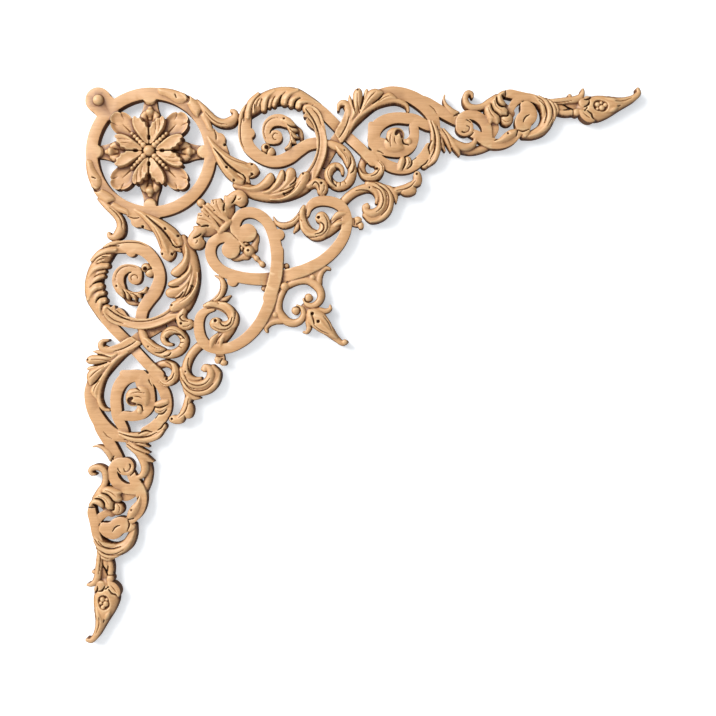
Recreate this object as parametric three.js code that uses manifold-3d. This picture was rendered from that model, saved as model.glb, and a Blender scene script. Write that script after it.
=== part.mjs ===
// A carved corner applique: scrolling bands, acanthus leaves and a rosette in a ring, cut from
// one flat-backed board and pierced right through. It is fixed on a wall by its flat back.
//
// Frame: millimetres, +X along the top arm, the other arm down -Z, the back on the plane y = 0
// and the carved side towards -Y. The origin is the centre of the corner boss, on the back.
//
// The ornament is drawn on a squared sheet, x to the right and y down, and is squared up to the
// length of the arms. A stroke is a list of stations [x, y, half width, height], joined by a
// smooth line: the first three in squares, the height above the back in millimetres. One arm and
// half of the centre are drawn, and the other half is their mirror image over the diagonal.

import * as THREE from "three";
import { mergeVertices } from "three/addons/utils/BufferGeometryUtils.js";
import Module from "manifold-3d";

// Driving sizes in millimetres
const ARM = 544; // from the centre of the corner boss to the tip of an arm
const BOARD = 12; // height of the flat bands above the back
const ROSETTE_TOP = 19; // height of the rosette's highest leaves
const WASTE = 2; // wood left on below the back and above the flat bands until they are planed

// Driving sizes in squares of the sheet, which is 544 squares along an arm
const SQUARE = ARM / 544;
const BOSS_X = 97.5; // place of the corner boss
const BOSS_Y = 99.5;
const BOSS_RADIUS = 12.5;
const BOSS_BALL = 5;
const RING_X = 150.8; // centre of the ring and of the rosette
const RING_Y = 152.5;
const RING_OUTER = 65;
const RING_INNER = 53.8;
const RING_LAP = 4; // how far what meets the ring runs into it

// How finely a stroke is cut: the longest step between two sections, and how far the straight
// run between them may stand off the curve
const LONGEST_STEP = 32;
const SAG = 1.05;
const FACET_GAIN = 0.45; // added to half widths, as straight facets lie inside a curved edge
const TRACE_STEPS = 160;

// Sections across a stroke: [share of the half width, share of the height], from back to back
const FLAT = [
  [-1, 0],
  [-1, 1],
  [1, 1],
  [1, 0],
];
const SLOPED = [
  [-1, 0],
  [-0.55, 1],
  [0.55, 1],
  [1, 0],
];
const CRESTED = [
  [-1, 0],
  [-1, 0.74],
  [-0.1, 1],
  [1, 0.74],
  [1, 0],
];
const FLUTED = [
  [-1, 0],
  [-1, 0.86],
  [-0.4, 1],
  [0, 0.84],
  [0.45, 1],
  [1, 0.8],
  [1, 0],
];

const band = (...stations) => ({ section: FLAT, stations, surface: stations.every(isAtSurface) });
const isAtSurface = ([, , , top]) => top === BOARD;
const stem = (...stations) => ({ section: SLOPED, stations });
const lobe = (...stations) => ({ section: CRESTED, stations });
const flutes = (...stations) => ({ section: FLUTED, stations });
const disc = (x, y, radius, top) => ({ x, y, radius, top, flat: true, surface: top === BOARD });
const ball = (x, y, radius, top) => ({ x, y, radius, top, flat: false });

// A leaf with fingers is a row of ribs across it, each from the leaf's back edge to its open
// edge: [x, y, x at the open edge, y there]. Every second rib is a finger's ridge and ends at
// its tip; the ribs between lie lower and end in the notches.
const RIDGE_HEIGHTS = [0.84, 1, 0.82];
const NOTCH_HEIGHTS = [0.8, 0.78, 0.68];
const leaf = (top, ...ribs) => ({ top, ribs });

// The neck of the boss ends inside the ring, on the line between their centres
const NECK_SHARE = 1 - (RING_OUTER - RING_LAP) / Math.hypot(RING_X - BOSS_X, RING_Y - BOSS_Y);
const NECK_X = BOSS_X + (RING_X - BOSS_X) * NECK_SHARE;
const NECK_Y = BOSS_Y + (RING_Y - BOSS_Y) * NECK_SHARE;

// Corner boss, with a ball at its middle and a neck to the ring
const cornerBoss = [
  disc(BOSS_X, BOSS_Y, BOSS_RADIUS, BOARD),
  ball(BOSS_X + 0.5, BOSS_Y + 0.5, BOSS_BALL, BOARD + BOSS_BALL),
  band([BOSS_X, BOSS_Y, BOSS_RADIUS - 1.5, BOARD], [NECK_X, NECK_Y, BOSS_RADIUS - 0.5, BOARD]),
];

// Leaf that wraps the ring and leaves it as a tendril with a curled end
const ringLeaf = [
  lobe(
    [164, 94, 2, 12.8], [177, 97, 5.5, 14.4], [188, 104, 7, 14.8], [199, 114, 7, 14.4],
    [206, 126, 5, 13],
  ),
  stem(
    [198, 102, 2.5, 13.6], [204.5, 109, 4, 14.6], [210, 115.4, 4.2, 14], [216.6, 120, 4, 13.4],
    [224, 121.8, 4, 13], [231, 120, 5, 12.8], [234.6, 114.6, 3.6, 12.5],
    [231, 109.6, 1.8, 11.5],
  ),
  disc(219, 139, 6.3, 11.6),
  band([214, 132, 5, 11.6], [220, 144, 5.2, 11.6], [227, 155, 2.4, 11.6]),
];

// Leaf from the ring's side to the first scroll, split in two lobes
const sideLeaf = [
  lobe(
    [208, 136, 2.2, 12.6], [214, 148, 4, 13.5], [223, 156.5, 5, 14], [234, 163.5, 6, 14.5],
    [245, 168.5, 6.6, 14], [258, 171.5, 2, 12],
  ),
  lobe(
    [211, 144, 2.6, 12.8], [219, 158, 4.6, 13.8], [228, 170, 6.6, 14.2], [236, 178, 7.4, 13.8],
    [241, 184, 6, 12.4],
  ),
  band([230, 165, 3, 11.5], [240, 172, 5, 11.5], [247.5, 180.5, 3, 11]),
];

// Crescent leaf below the first scroll, its rising stem and the small volute beside it
const crescentLeaf = [
  leaf(
    14.5,
    [235, 186, 238, 178],
    [240, 191, 272.5, 177],
    [247, 195, 271, 184],
    [255, 198.6, 291, 169.5],
    [263, 200.6, 288, 180],
    [271, 201.4, 296.5, 176.5],
    [278, 201.6, 294, 184],
    [286, 201, 305.5, 171],
    [298, 198, 308, 174],
    [310, 191, 310.5, 176],
    [316, 187, 314, 172],
  ),
  stem([308, 187, 4, 13], [316, 181.6, 3.6, 13], [322.5, 182.6, 3.6, 13], [324, 190, 4, 12.4]),
];

// First scroll: leaf over the top, flat band, inner spiral with its leaf and bud
const scrollOne = [
  leaf(
    15,
    [237.6, 120, 238.6, 125],
    [241, 114, 240.6, 125],
    [244, 109.5, 244.6, 115],
    [247.4, 104.4, 248, 121],
    [250.4, 100.4, 252.4, 109],
    [253.6, 96.6, 255.6, 116],
    [257, 93.8, 258.8, 106],
    [261.6, 91.6, 262.6, 112],
    [266.4, 89.8, 266.8, 104],
    [271.4, 88.8, 271.4, 108.4],
    [276.6, 88.2, 276.4, 102],
    [281.8, 87.8, 281, 106.4],
    [287, 87.6, 285.8, 101],
    [292.2, 87.8, 290.6, 108],
    [297, 89.2, 294.6, 101.6],
    [301.6, 91.2, 298, 109.4],
    [306.4, 94, 302, 104],
    [311, 97, 306, 110.8],
    [317, 100.8, 309.6, 108],
    [325, 106.4, 317, 113],
  ),
  band(
    [245, 112, 5.5, BOARD], [245, 122, 6, BOARD], [244.5, 133, 6.5, BOARD],
    [247, 144, 6.5, BOARD], [254, 152.5, 6, BOARD], [263, 158.5, 5.5, BOARD],
    [272, 161.3, 5.5, BOARD], [281, 160.5, 6, BOARD], [290, 156.5, 6.5, BOARD],
    [299, 150, 6, BOARD], [308, 144.5, 5.5, BOARD], [319, 142, 5.5, BOARD],
  ),
  disc(249.5, 133, 5, BOARD),
  disc(276, 137.5, 6.7, BOARD),
  band(
    [271.5, 140, 4.5, BOARD], [266.3, 134, 4.4, BOARD], [266.6, 125, 4.6, BOARD],
    [273, 119, 5, BOARD], [283, 119.5, 5.2, BOARD], [290, 123, 4, BOARD],
  ),
  lobe(
    [284, 121, 4.5, 13], [291, 126, 5.4, 14.4], [295.2, 133, 4.8, 14.2],
    [294.4, 142, 3.8, 13.4], [288.5, 149, 1.6, 12.4],
  ),
  band([293, 125, 2.4, 9], [300.4, 131.6, 3, 9], [302, 142, 2, 9]),
  ball(268.4, 149, 6.4, 13),
];
const scrollOneStems = [
  band(
    [314, 102.6, 4.5, BOARD], [326, 113, 6.5, BOARD], [334, 121.5, 6, BOARD],
    [341, 130, 5.5, 10.5], [348, 136.5, 5, 10], [356.8, 144.4, 4.9, 11.4], [366, 153, 5, BOARD],
    [375, 161, 5, BOARD],
  ),
  lobe(
    [309, 113, 5.5, 12.4], [316, 123, 6.4, 14], [320.8, 134, 5.6, 14], [322, 146, 5, 13.8],
    [320, 158, 5.2, 13.6], [315.5, 168, 6, 13.2], [309, 178, 7, 12.8],
  ),
];

// Loop at the end of the first scroll's upper band
const bandLoop = [
  stem(
    [372, 158, 5.2, 12.5], [379.5, 166.5, 5, 13.4], [378, 175, 4.8, 13], [370, 177.4, 4.4, 12],
    [363, 173.5, 4.2, 10.5], [361.5, 165, 4.2, 9], [365, 156, 4, 8],
  ),
];

// Small scroll between the first scroll and the heart, over the crossing stem
const smallScroll = [
  stem(
    [329, 143, 4, 11.6], [340, 147.5, 4.7, 12.6], [347, 154.5, 5, 13.2],
    [351.3, 163, 4.8, 13.4], [352, 173, 4.8, 13.2], [345.5, 184, 4.6, 12.8],
    [334, 184.6, 4.4, 12.6], [328.5, 177, 4.4, 13.4], [330, 169, 4.2, 13.8],
    [337, 165.8, 3.2, 13.8], [342.4, 170, 2, 13.2],
  ),
];

// Second scroll: the crossing stem with its hook, the rising leaf and the top band
const risingLeaf = [
  band(
    [337.6, 109, 1.4, 12], [339.4, 104.4, 2.4, 12.4], [344, 102.8, 3.2, 12.8],
    [348, 107, 4, 12.6], [347, 114, 4.6, BOARD], [343.6, 122, 5.6, BOARD], [339, 132, 6, 12.2],
    [333, 143, 6, BOARD], [326, 158, 5.6, 9],
  ),
  leaf(
    14.6,
    [343.6, 139, 341, 133],
    [348, 132, 346, 124],
    [352, 126, 350.4, 96],
    [354.4, 123, 354, 103],
    [357, 120, 357.8, 88.6],
    [360, 116.8, 362.4, 98],
    [363, 114, 367, 89.6],
    [366.6, 111.2, 369.6, 96.6],
    [370.6, 108.8, 377, 89.6],
    [375, 106.4, 379.4, 96],
    [380, 104.6, 386, 92.4],
    [386, 103.6, 389.6, 95.4],
    [393, 103.4, 397, 96.4],
    [400, 105.4, 403, 100.6],
    [406.4, 111.4, 409.6, 109],
  ),
  band(
    [376, 92.4, 3, BOARD], [390, 91.6, 4.8, BOARD], [401, 93.2, 6, BOARD],
    [412, 97.4, 6.8, BOARD], [422, 103.6, 7.4, BOARD], [431, 113.4, 6.4, BOARD],
    [435, 124, 5.2, BOARD], [436, 133, 4.4, BOARD],
  ),
  band([422, 99, 6, BOARD], [434, 105, 6.6, BOARD], [446, 111.6, 6, BOARD], [459, 120, 5.4, BOARD]),
];

// Second scroll: right side, lower arc and inner spiral
const scrollTwo = [
  flutes(
    [435, 120, 4.6, 13], [435.6, 133, 5.6, 14.2], [434.6, 146, 6, 14.2], [431, 157, 5.6, 13],
    [425, 162, 4.4, 12.4],
  ),
  band(
    [430, 154, 4.6, BOARD], [421, 162.4, 5, BOARD], [410, 167.4, 5.2, BOARD],
    [399, 169, 5.2, BOARD], [389, 166, 5, BOARD], [381, 160, 4.6, BOARD], [374, 154, 4, BOARD],
  ),
  lobe([434, 124, 3.5, 12.4], [440.4, 134, 6, 13.6], [445.6, 143, 6.2, 13], [449, 152, 3.6, 11.4]),
  stem([444.2, 95.6, 0.8, 11], [444.6, 103, 1.6, 12], [452, 110.6, 2.2, 12.4]),
  stem(
    [440, 131, 4, 12.6], [449, 139.5, 4.4, 13], [458, 145, 4.4, 13], [467, 147, 4, 12.6],
    [474, 143.4, 3.2, 12.6], [476.4, 138, 1.8, 12],
  ),
  band([463, 150, 3.4, 8], [478, 149, 4, 8], [493, 143.5, 3, 9]),
  band(
    [431, 130.5, 3.4, BOARD], [425, 124.5, 4.6, BOARD], [415, 119.8, 5.2, BOARD],
    [404, 117.8, 5.4, BOARD], [393, 118, 5.4, BOARD], [383, 121.6, 6, BOARD],
    [375.6, 129, 6.4, BOARD], [374.6, 139.6, 6.6, BOARD], [382, 146, 8, BOARD],
    [394, 148.4, 8.6, BOARD], [404, 147.6, 8, BOARD], [411.4, 142.6, 5.8, BOARD],
    [415, 134, 3.8, BOARD], [413.4, 126, 3.6, BOARD],
  ),
  disc(370.8, 124.4, 3.6, BOARD),
  stem(
    [386.4, 145, 5, 13.6], [389, 137.5, 4.4, 14.2], [394.4, 130.8, 3.2, 13.6],
    [400.6, 130.2, 2.2, 12.8], [404, 136.4, 1.8, 12.4],
  ),
];

// Outer arm: spiral, curled hook and the leaves beside it
const outerScroll = [
  disc(464.5, 126.4, 8.8, BOARD),
  band(
    [456.6, 128, 4, BOARD], [457.6, 120, 4.5, BOARD], [464.6, 115, 4.6, BOARD],
    [474, 115.2, 4.8, BOARD], [482.4, 119.8, 5, BOARD], [486.8, 128, 5, BOARD],
    [487.2, 138, 5, BOARD],
  ),
  band(
    [468.6, 130.6, 4, BOARD], [477, 135, 4.8, BOARD], [487, 140.6, 5.6, BOARD],
    [497, 143.2, 5.2, BOARD], [507, 141.6, 5.2, BOARD], [516, 136.4, 4.8, BOARD],
    [522, 127, 4, BOARD],
  ),
  stem(
    [472.6, 96.4, 1.4, 12], [470.6, 92.8, 2.4, 12.6], [465.8, 94.6, 3, 13.2],
    [465.4, 101.4, 3.4, 13.4], [469.6, 106.4, 3.6, 13.2], [478, 107, 3.4, 12.8],
    [488, 103.2, 4.6, 12.8], [499, 96.4, 5, 13],
  ),
  lobe([490, 101, 6, 13.2], [492.6, 110, 7.4, 14.6], [497, 120.6, 6, 13]),
  band([495, 118, 5, 9], [495.4, 128, 4.6, 9], [492, 138, 4, 9]),
  ball(507, 117.6, 7.4, 13),
  lobe([508, 93.6, 4, 12.4], [502, 96, 4.4, 14.2], [502, 104.4, 2.6, 13]),
  band(
    [505, 94, 4, BOARD], [514, 94.4, 4.4, BOARD], [525, 96.2, 4.2, BOARD],
    [535, 98.4, 4, BOARD],
  ),
  band([520, 98.5, 3.6, BOARD], [512.6, 106.4, 4, 11.4], [508, 116, 4, 11.4]),
];
const outerLoop = [
  flutes(
    [532, 97.6, 3.8, 12.6], [541, 101, 5.2, 13.6], [547.4, 109, 6.6, 14.2],
    [548, 118.6, 6.4, 14.2], [543, 127.6, 6, 13.6], [533.6, 133.4, 4.6, 12.8],
    [523, 135, 2.6, 12.2],
  ),
  lobe([526, 102, 5, 12.4], [527.4, 112, 8.4, 13.6], [525, 122, 7.6, 13.6], [521.6, 133, 5, 12.6]),
  ball(531, 116.4, 6.6, 14.4),
];
const podStem = [
  stem(
    [546, 102, 3, 11.5], [558, 101.2, 3.2, 12.4], [572, 100, 3.6, 13], [580.4, 96, 3, 13],
    [582.6, 89.4, 1.6, 12],
  ),
  stem([551, 105, 3.6, 10.8], [561, 109.6, 3.6, 11.4], [573, 111.4, 3.2, 12]),
  ball(577.4, 111.8, 4.4, 13),
  band([570, 103, 2, 10], [578, 106, 4.4, 10], [586, 108, 6, 10]),
];
const pod = [
  lobe(
    [583, 107.6, 7, 11], [589.6, 107.8, 11.6, 13], [600, 107, 12.4, 14.2],
    [610, 104.8, 9.8, 13.8], [620, 102.4, 6.3, 13], [629, 99.8, 4.2, 12.4],
    [637.6, 95, 3, 11.6], [639.4, 88.6, 1.8, 11],
  ),
  stem([579.6, 104, 2, 12.6], [585, 101.4, 4, 14], [591, 97.4, 1.8, 12.6]),
  stem([580, 111.8, 2.4, 12.6], [586, 115.8, 4.6, 14], [593, 117.4, 2, 12.6]),
  ball(600.4, 105.6, 5, 16),
];

// Heart: a flat band from its volute, under its twin on the diagonal and round the outer loop
const heart = [
  disc(230, 249.8, 8.4, BOARD),
  band(
    [235, 243.6, 5, BOARD], [227.4, 237.6, 5, BOARD], [219, 238, 5, BOARD],
    [212.4, 243, 5.2, BOARD], [210.4, 251.6, 5.3, BOARD], [213, 261, 5.4, BOARD],
    [220.6, 268.6, 5.5, BOARD], [231, 274, 5.6, BOARD], [246, 277.8, 5.8, BOARD],
    [262, 279, 6, 11.4], [274, 277.6, 6.2, 9.4], [286, 275, 6, 10.6], [298, 272, 5.9, BOARD],
    [310, 267.6, 5.8, BOARD], [321, 261.5, 5.6, BOARD], [332, 252.5, 5.5, BOARD],
    [340.5, 242, 5.3, BOARD], [345.5, 231, 5, BOARD], [347, 220, 5, BOARD],
    [344, 210, 5, BOARD], [337, 203.8, 5.2, BOARD], [327, 201, 5, BOARD],
    [318, 201.4, 4.8, BOARD], [310.6, 206, 4, BOARD],
  ),
  disc(232.4, 281, 5.4, BOARD),
];
const heartLeaf = [
  lobe(
    [304, 204, 3, 12.8], [302.6, 214, 4.6, 13.6], [304.4, 225, 5.6, 14], [310, 233, 5.4, 14],
    [319, 235.4, 5.4, 14], [327.6, 231.6, 7, 13.4], [335, 222.6, 7.6, 12.6], [341, 214, 6, 12],
  ),
  stem(
    [319.6, 230, 3, 13], [318.4, 220, 2.8, 13.6], [322, 214.6, 2.6, 14],
    [327.6, 218, 2.8, 13.8], [328.6, 227, 3, 13.4],
  ),
  stem(
    [273.6, 216.6, 1.2, 11.4], [275.6, 222, 2.2, 12], [282, 225.2, 2.6, 12.6],
    [290, 223.6, 3.2, 12.8], [296.6, 218, 3.2, 12.8], [301, 210, 2.6, 12.6],
  ),
];

// Scroll with leaves outside the heart, its end leaf and a bud
const outerLeafScroll = [
  stem(
    [343, 202, 4.6, 11.6], [350, 195, 4.4, 12.8], [359, 189.6, 4.2, 13.4], [368, 188, 4, 13.6],
    [375.4, 191, 3.4, 13.4], [377, 201.6, 1.8, 12.4],
  ),
  lobe(
    [366, 184, 3, 12.6], [377, 187.6, 5, 14], [383.4, 195.4, 6.4, 14.4],
    [384.6, 206, 6.6, 14.2], [378.6, 215, 6, 13.6], [369.4, 217.6, 4.6, 12.8],
    [364.6, 211.6, 3, 12.4],
  ),
  ball(367, 206.4, 3.8, 13.4),
  stem([378, 185.6, 3, 12], [389, 191, 4.6, 13.4], [396, 202, 2.4, 11.6]),
  lobe(
    [388, 188.6, 4, 12], [399, 191.4, 4.4, 13], [407.6, 189, 5.2, 13.4],
    [414, 183.6, 5.4, 13.4], [416.6, 173.6, 3, 12.4],
  ),
  stem([349, 221.4, 4.4, 10], [356.4, 222, 5, 11.4], [361.4, 223.6, 3.6, 11]),
];

// Bracket under the crossing: a thin scroll to a ball, and a spur along the heart's band
const bracket = [
  ball(284.4, 286.6, 4.2, 12.4),
  stem(
    [286, 286, 3, 10.4], [295, 282.6, 2.8, 10.6], [305, 282, 3, 11], [314, 285, 3.8, 11.4],
    [320.8, 293, 3.6, 12], [319.6, 302.6, 3.4, 12.4], [311, 305.8, 3, 12.4],
    [304.6, 299, 2, 12],
  ),
  ball(308.5, 297.5, 4, 12.6),
  band(
    [317.6, 286, 3.6, 10], [318.6, 277.6, 3, 10], [322.4, 269.8, 2.4, 10],
    [328.6, 267.6, 1.6, 10],
  ),
];

// Side halves of the palmette, between the ring and the heart
const palmetteSide = [
  leaf(
    14,
    [225, 229, 202.4, 206.4],
    [224, 222.4, 206.4, 199.4],
    [225, 221.4, 210.6, 205],
    [226, 220.6, 212.6, 200],
    [227, 219.6, 215.6, 205.6],
    [228, 218.6, 217.4, 198.6],
    [229, 217.4, 221.4, 204.6],
    [230.4, 216.4, 225, 196],
    [232, 215, 228, 203.6],
    [234, 213, 231, 197.4],
    [236.6, 209, 236, 200],
  ),
  ball(240, 198.5, 7.2, 14),
  band([255, 236, 3.4, 8], [253.4, 246.6, 3.4, 8], [249.6, 252, 3.4, 8]),
];

// What lies on the diagonal: palmette stem, spear and buds in the heart, pendant drop
const diagonal = [
  ball(201, 203, 4.2, 13),
  stem([203, 205, 1.8, 12], [213, 215, 2.4, 14], [224, 226, 3, 14.6]),
  stem([219.6, 231.6, 3, 13], [230.4, 220.4, 3, 13]),
  band([222.3, 224.3, 4, 11], [240, 242, 3.4, 11.4]),
  band([277, 256, 6.2, BOARD], [275.6, 276, 6.4, BOARD], [271.6, 294, 6.2, BOARD]),
  stem([240, 242, 2.6, 12], [248.4, 250.4, 5.4, 13.4], [256, 258, 2.8, 11.6], [262, 264, 3, 11.6]),
  stem(
    [304, 306, 3.4, 10.6], [311.6, 313.6, 6, 12], [320, 322, 8, 13], [328.6, 330.6, 5.6, 12.4],
    [336.6, 338.6, 3.2, 11], [347.4, 344, 1.6, 10.4],
  ),
];
const pendantSide = [
  stem(
    [311, 310.6, 3, 11.4], [320, 308.6, 2.6, 12], [328.4, 310.4, 2.6, 12],
    [331.6, 305.6, 1.2, 11],
  ),
];

// Rosette: one quarter of it, with every angle measured from the axis to the right
const LEAF_RIBS = [
  [-27, 22],
  [-15, 32.5],
  [0, 23],
  [15, 32.5],
  [27, 22],
];
const PETAL_RIBS = [
  [8, 16],
  [17, 32.5],
  [28, 30],
  [35, 46.5],
  [45, 50.5],
  [55, 46.5],
  [62, 30],
  [73, 32.5],
  [82, 16],
];
const petalTurns = [0, 90, 180, 270];

function rayRibs(ribs, startRadius) {
  return ribs.map(([degrees, reach]) => {
    const angle = THREE.MathUtils.degToRad(degrees);
    const [cos, sin] = [Math.cos(angle), Math.sin(angle)];
    const root = [RING_X + startRadius * cos, RING_Y + startRadius * sin];
    return [...root, RING_X + reach * cos, RING_Y + reach * sin];
  });
}

const rosetteQuarter = [
  band(
    [RING_X + 16, RING_Y, 8, 9], [RING_X + 34, RING_Y, 11, 9],
    [RING_X + RING_INNER + RING_LAP, RING_Y, 6.6, 9],
  ),
  disc(RING_X + RING_INNER - 0.8, RING_Y, 5.8, BOARD),
  stem([RING_X + 26, RING_Y, 6.4, 14], [RING_X + 37, RING_Y, 4.4, 11.5]),
  leaf(ROSETTE_TOP, ...rayRibs(LEAF_RIBS, 4)),
  leaf(ROSETTE_TOP - 1.5, ...rayRibs(PETAL_RIBS, 5)),
];
const ring = { x: RING_X, y: RING_Y, outer: RING_OUTER, inner: RING_INNER, surface: true };
const rosetteCentre = [ball(RING_X, RING_Y, 8, ROSETTE_TOP + 0.6)];

// Sheet to frame
function place(x, y, height) {
  return new THREE.Vector3((x - BOSS_X) * SQUARE, -height, (BOSS_Y - y) * SQUARE);
}

// A turned form stands on the sheet at its place
function stood(geometry, x, y) {
  const foot = place(x, y, 0);
  return geometry.rotateX(Math.PI).scale(SQUARE, 1, SQUARE).translate(foot.x, foot.y, foot.z);
}

// The sections of a stroke, closer together where it bends
function sectionsOf(stations) {
  const spine = new THREE.CatmullRomCurve3(stations.map(([x, y]) => new THREE.Vector3(x, y, 0)));
  const form = new THREE.CatmullRomCurve3(
    stations.map(([, , half, top]) => new THREE.Vector3(half, top, 0)),
    false,
    "catmullrom",
    0.5,
  );
  const cost = [0];
  let last = spine.getPoint(0);
  let heading = spine.getTangent(0);
  for (let i = 1; i <= TRACE_STEPS; i++) {
    const here = spine.getPoint(i / TRACE_STEPS);
    const next = spine.getTangent(i / TRACE_STEPS);
    const run = here.distanceTo(last);
    const bend = Math.sqrt((run * next.angleTo(heading)) / (8 * SAG));
    cost.push(cost[i - 1] + Math.max(bend, run / LONGEST_STEP));
    last = here;
    heading = next;
  }
  const total = cost[TRACE_STEPS];
  const steps = Math.max(1, Math.ceil(total));
  const sections = [];
  let mark = 0;
  for (let i = 0; i <= steps; i++) {
    const wanted = (total * i) / steps;
    while (mark < TRACE_STEPS - 1 && cost[mark + 1] < wanted) {
      mark++;
    }
    const part = (wanted - cost[mark]) / (cost[mark + 1] - cost[mark]);
    const t = Math.min(1, (mark + part) / TRACE_STEPS);
    const shape = form.getPoint(t);
    const at = spine.getPoint(t);
    sections.push({ at, along: spine.getTangent(t), half: shape.x, top: shape.y });
  }
  return sections;
}

// A cylinder whose rings of vertices are moved onto the sections of the stroke
function strokeGeometry({ section, stations, surface }) {
  const sections = sectionsOf(stations);
  const sides = section.length;
  const steps = sections.length - 1;
  const geometry = bare(new THREE.CylinderGeometry(1, 1, 1, sides, steps));
  const position = geometry.getAttribute("position");
  for (let i = 0; i < position.count; i++) {
    const angle = Math.atan2(position.getX(i), position.getZ(i)) / (2 * Math.PI);
    const { at, along, half, top: crest } = sections[Math.round((position.getY(i) + 0.5) * steps)];
    const isAxis = Math.hypot(position.getX(i), position.getZ(i)) < 0.5;
    const corner = section[(Math.round(angle * sides) + sides) % sides];
    const across = isAxis ? 0 : corner[0] * (half + FACET_GAIN);
    const top = surface ? BOARD + WASTE : crest;
    const height = isAxis ? top / 2 : corner[1] * top || -WASTE;
    const point = place(at.x - along.y * across, at.y + along.x * across, height);
    position.setXYZ(i, point.x, point.y, point.z);
  }
  return geometry;
}

// A cylinder whose rings of vertices are moved onto the ribs of the leaf
function leafGeometry({ top, ribs }) {
  const sides = 5;
  const steps = ribs.length - 1;
  const geometry = bare(new THREE.CylinderGeometry(1, 1, 1, sides, steps));
  const position = geometry.getAttribute("position");
  for (let i = 0; i < position.count; i++) {
    const angle = Math.atan2(position.getX(i), position.getZ(i)) / (2 * Math.PI);
    const row = Math.round((position.getY(i) + 0.5) * steps);
    const heights = row % 2 ? RIDGE_HEIGHTS : NOTCH_HEIGHTS;
    const isAxis = Math.hypot(position.getX(i), position.getZ(i)) < 0.5;
    const corner = (Math.round(angle * sides) + sides) % sides;
    const share = isAxis ? 0.5 : [0, 0, 0.55, 1, 1][corner];
    const height = isAxis ? 0.4 : [0, ...heights, 0][corner];
    const [x, y, tipX, tipY] = ribs[row];
    const point = place(x + (tipX - x) * share, y + (tipY - y) * share, height * top || -WASTE);
    position.setXYZ(i, point.x, point.y, point.z);
  }
  return geometry;
}

// A round post from the back, flat or domed on top
function postGeometry({ x, y, radius, top, flat, surface }) {
  const end = surface ? BOARD + WASTE : top;
  const rim = flat ? end : end - radius * 0.7;
  const crown = flat ? 1 : 0.6;
  const profile = [
    new THREE.Vector2(0, -WASTE),
    new THREE.Vector2(radius, -WASTE),
    new THREE.Vector2(radius, rim),
    new THREE.Vector2(radius * crown, end),
    new THREE.Vector2(0, end),
  ];
  if (flat) {
    profile.splice(3, 1);
  }
  const segments = Math.ceil(Math.PI / Math.acos(1 - SAG / radius)) + 2;
  return stood(bare(new THREE.LatheGeometry(profile, segments)), x, y);
}

function bare(geometry) {
  geometry.deleteAttribute("normal");
  geometry.deleteAttribute("uv");
  return mergeVertices(geometry, 1e-5);
}

const wasm = await Module();
wasm.setup();

function solidOf(geometry) {
  const triVerts = new Uint32Array(geometry.index.array);
  if (volumeOf(geometry) < 0) {
    triVerts.reverse();
  }
  const vertProperties = geometry.getAttribute("position").array;
  return new wasm.Manifold(new wasm.Mesh({ numProp: 3, vertProperties, triVerts }));
}

// Volume inside a closed surface, negative where its faces look inwards
function volumeOf(geometry) {
  const position = geometry.getAttribute("position");
  const [a, b, c] = [new THREE.Vector3(), new THREE.Vector3(), new THREE.Vector3()];
  let volume = 0;
  for (let i = 0; i < geometry.index.count; i += 3) {
    a.fromBufferAttribute(position, geometry.index.getX(i));
    b.fromBufferAttribute(position, geometry.index.getX(i + 1));
    c.fromBufferAttribute(position, geometry.index.getX(i + 2));
    volume += a.dot(b.cross(c)) / 6;
  }
  return volume;
}

function meshOf(solid) {
  const { vertProperties, triVerts } = solid.getMesh();
  const geometry = new THREE.BufferGeometry();
  geometry.setAttribute("position", new THREE.BufferAttribute(vertProperties, 3));
  geometry.setIndex(new THREE.BufferAttribute(triVerts, 1));
  return geometry;
}

function geometryOf(piece) {
  if (piece.inner) {
    return ringGeometry(piece);
  }
  if (piece.ribs) {
    return leafGeometry(piece);
  }
  return piece.section ? strokeGeometry(piece) : postGeometry(piece);
}

// Mirror over the diagonal of the corner, which swaps the two arms
const OTHER_HALF = new THREE.Matrix4().set(0, 0, -1, 0, 0, 1, 0, 0, -1, 0, 0, 0, 0, 0, 0, 1);

function joined(pieces, placing) {
  const solids = pieces.map((piece) => solidOf(geometryOf(piece).applyMatrix4(placing)));
  return solids.reduce((all, next) => all.add(next));
}

// The bands are planed to the board's surface in one cut, and the back in another
function carve(pieces, placing = new THREE.Matrix4()) {
  const level = joined(
    pieces.filter((piece) => piece.surface),
    placing,
  );
  const raised = joined(
    pieces.filter((piece) => !piece.surface),
    placing,
  );
  return level.subtract(slab(-BOARD - WASTE)).add(raised).subtract(slab(WASTE));
}

function slab(y) {
  return solidOf(bare(new THREE.BoxGeometry(3 * ARM, 2 * WASTE, 3 * ARM).translate(0, y, 0)));
}

function turned(piece, degrees) {
  const angle = THREE.MathUtils.degToRad(degrees);
  const spin = (x, y) => [
    RING_X + (x - RING_X) * Math.cos(angle) - (y - RING_Y) * Math.sin(angle),
    RING_Y + (x - RING_X) * Math.sin(angle) + (y - RING_Y) * Math.cos(angle),
  ];
  if (piece.section) {
    const stations = piece.stations.map(([x, y, half, top]) => [...spin(x, y), half, top]);
    return { ...piece, stations };
  }
  if (piece.ribs) {
    const ribs = piece.ribs.map(([x, y, tipX, tipY]) => [...spin(x, y), ...spin(tipX, tipY)]);
    return { ...piece, ribs };
  }
  const [x, y] = spin(piece.x, piece.y);
  return { ...piece, x, y };
}

function ringGeometry({ x, y, outer, inner }) {
  const profile = [
    new THREE.Vector2(inner, -WASTE),
    new THREE.Vector2(outer, -WASTE),
    new THREE.Vector2(outer, BOARD + WASTE),
    new THREE.Vector2(inner, BOARD + WASTE),
    new THREE.Vector2(inner, -WASTE),
  ];
  return stood(bare(new THREE.LatheGeometry(profile, 30)), x, y);
}

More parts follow.
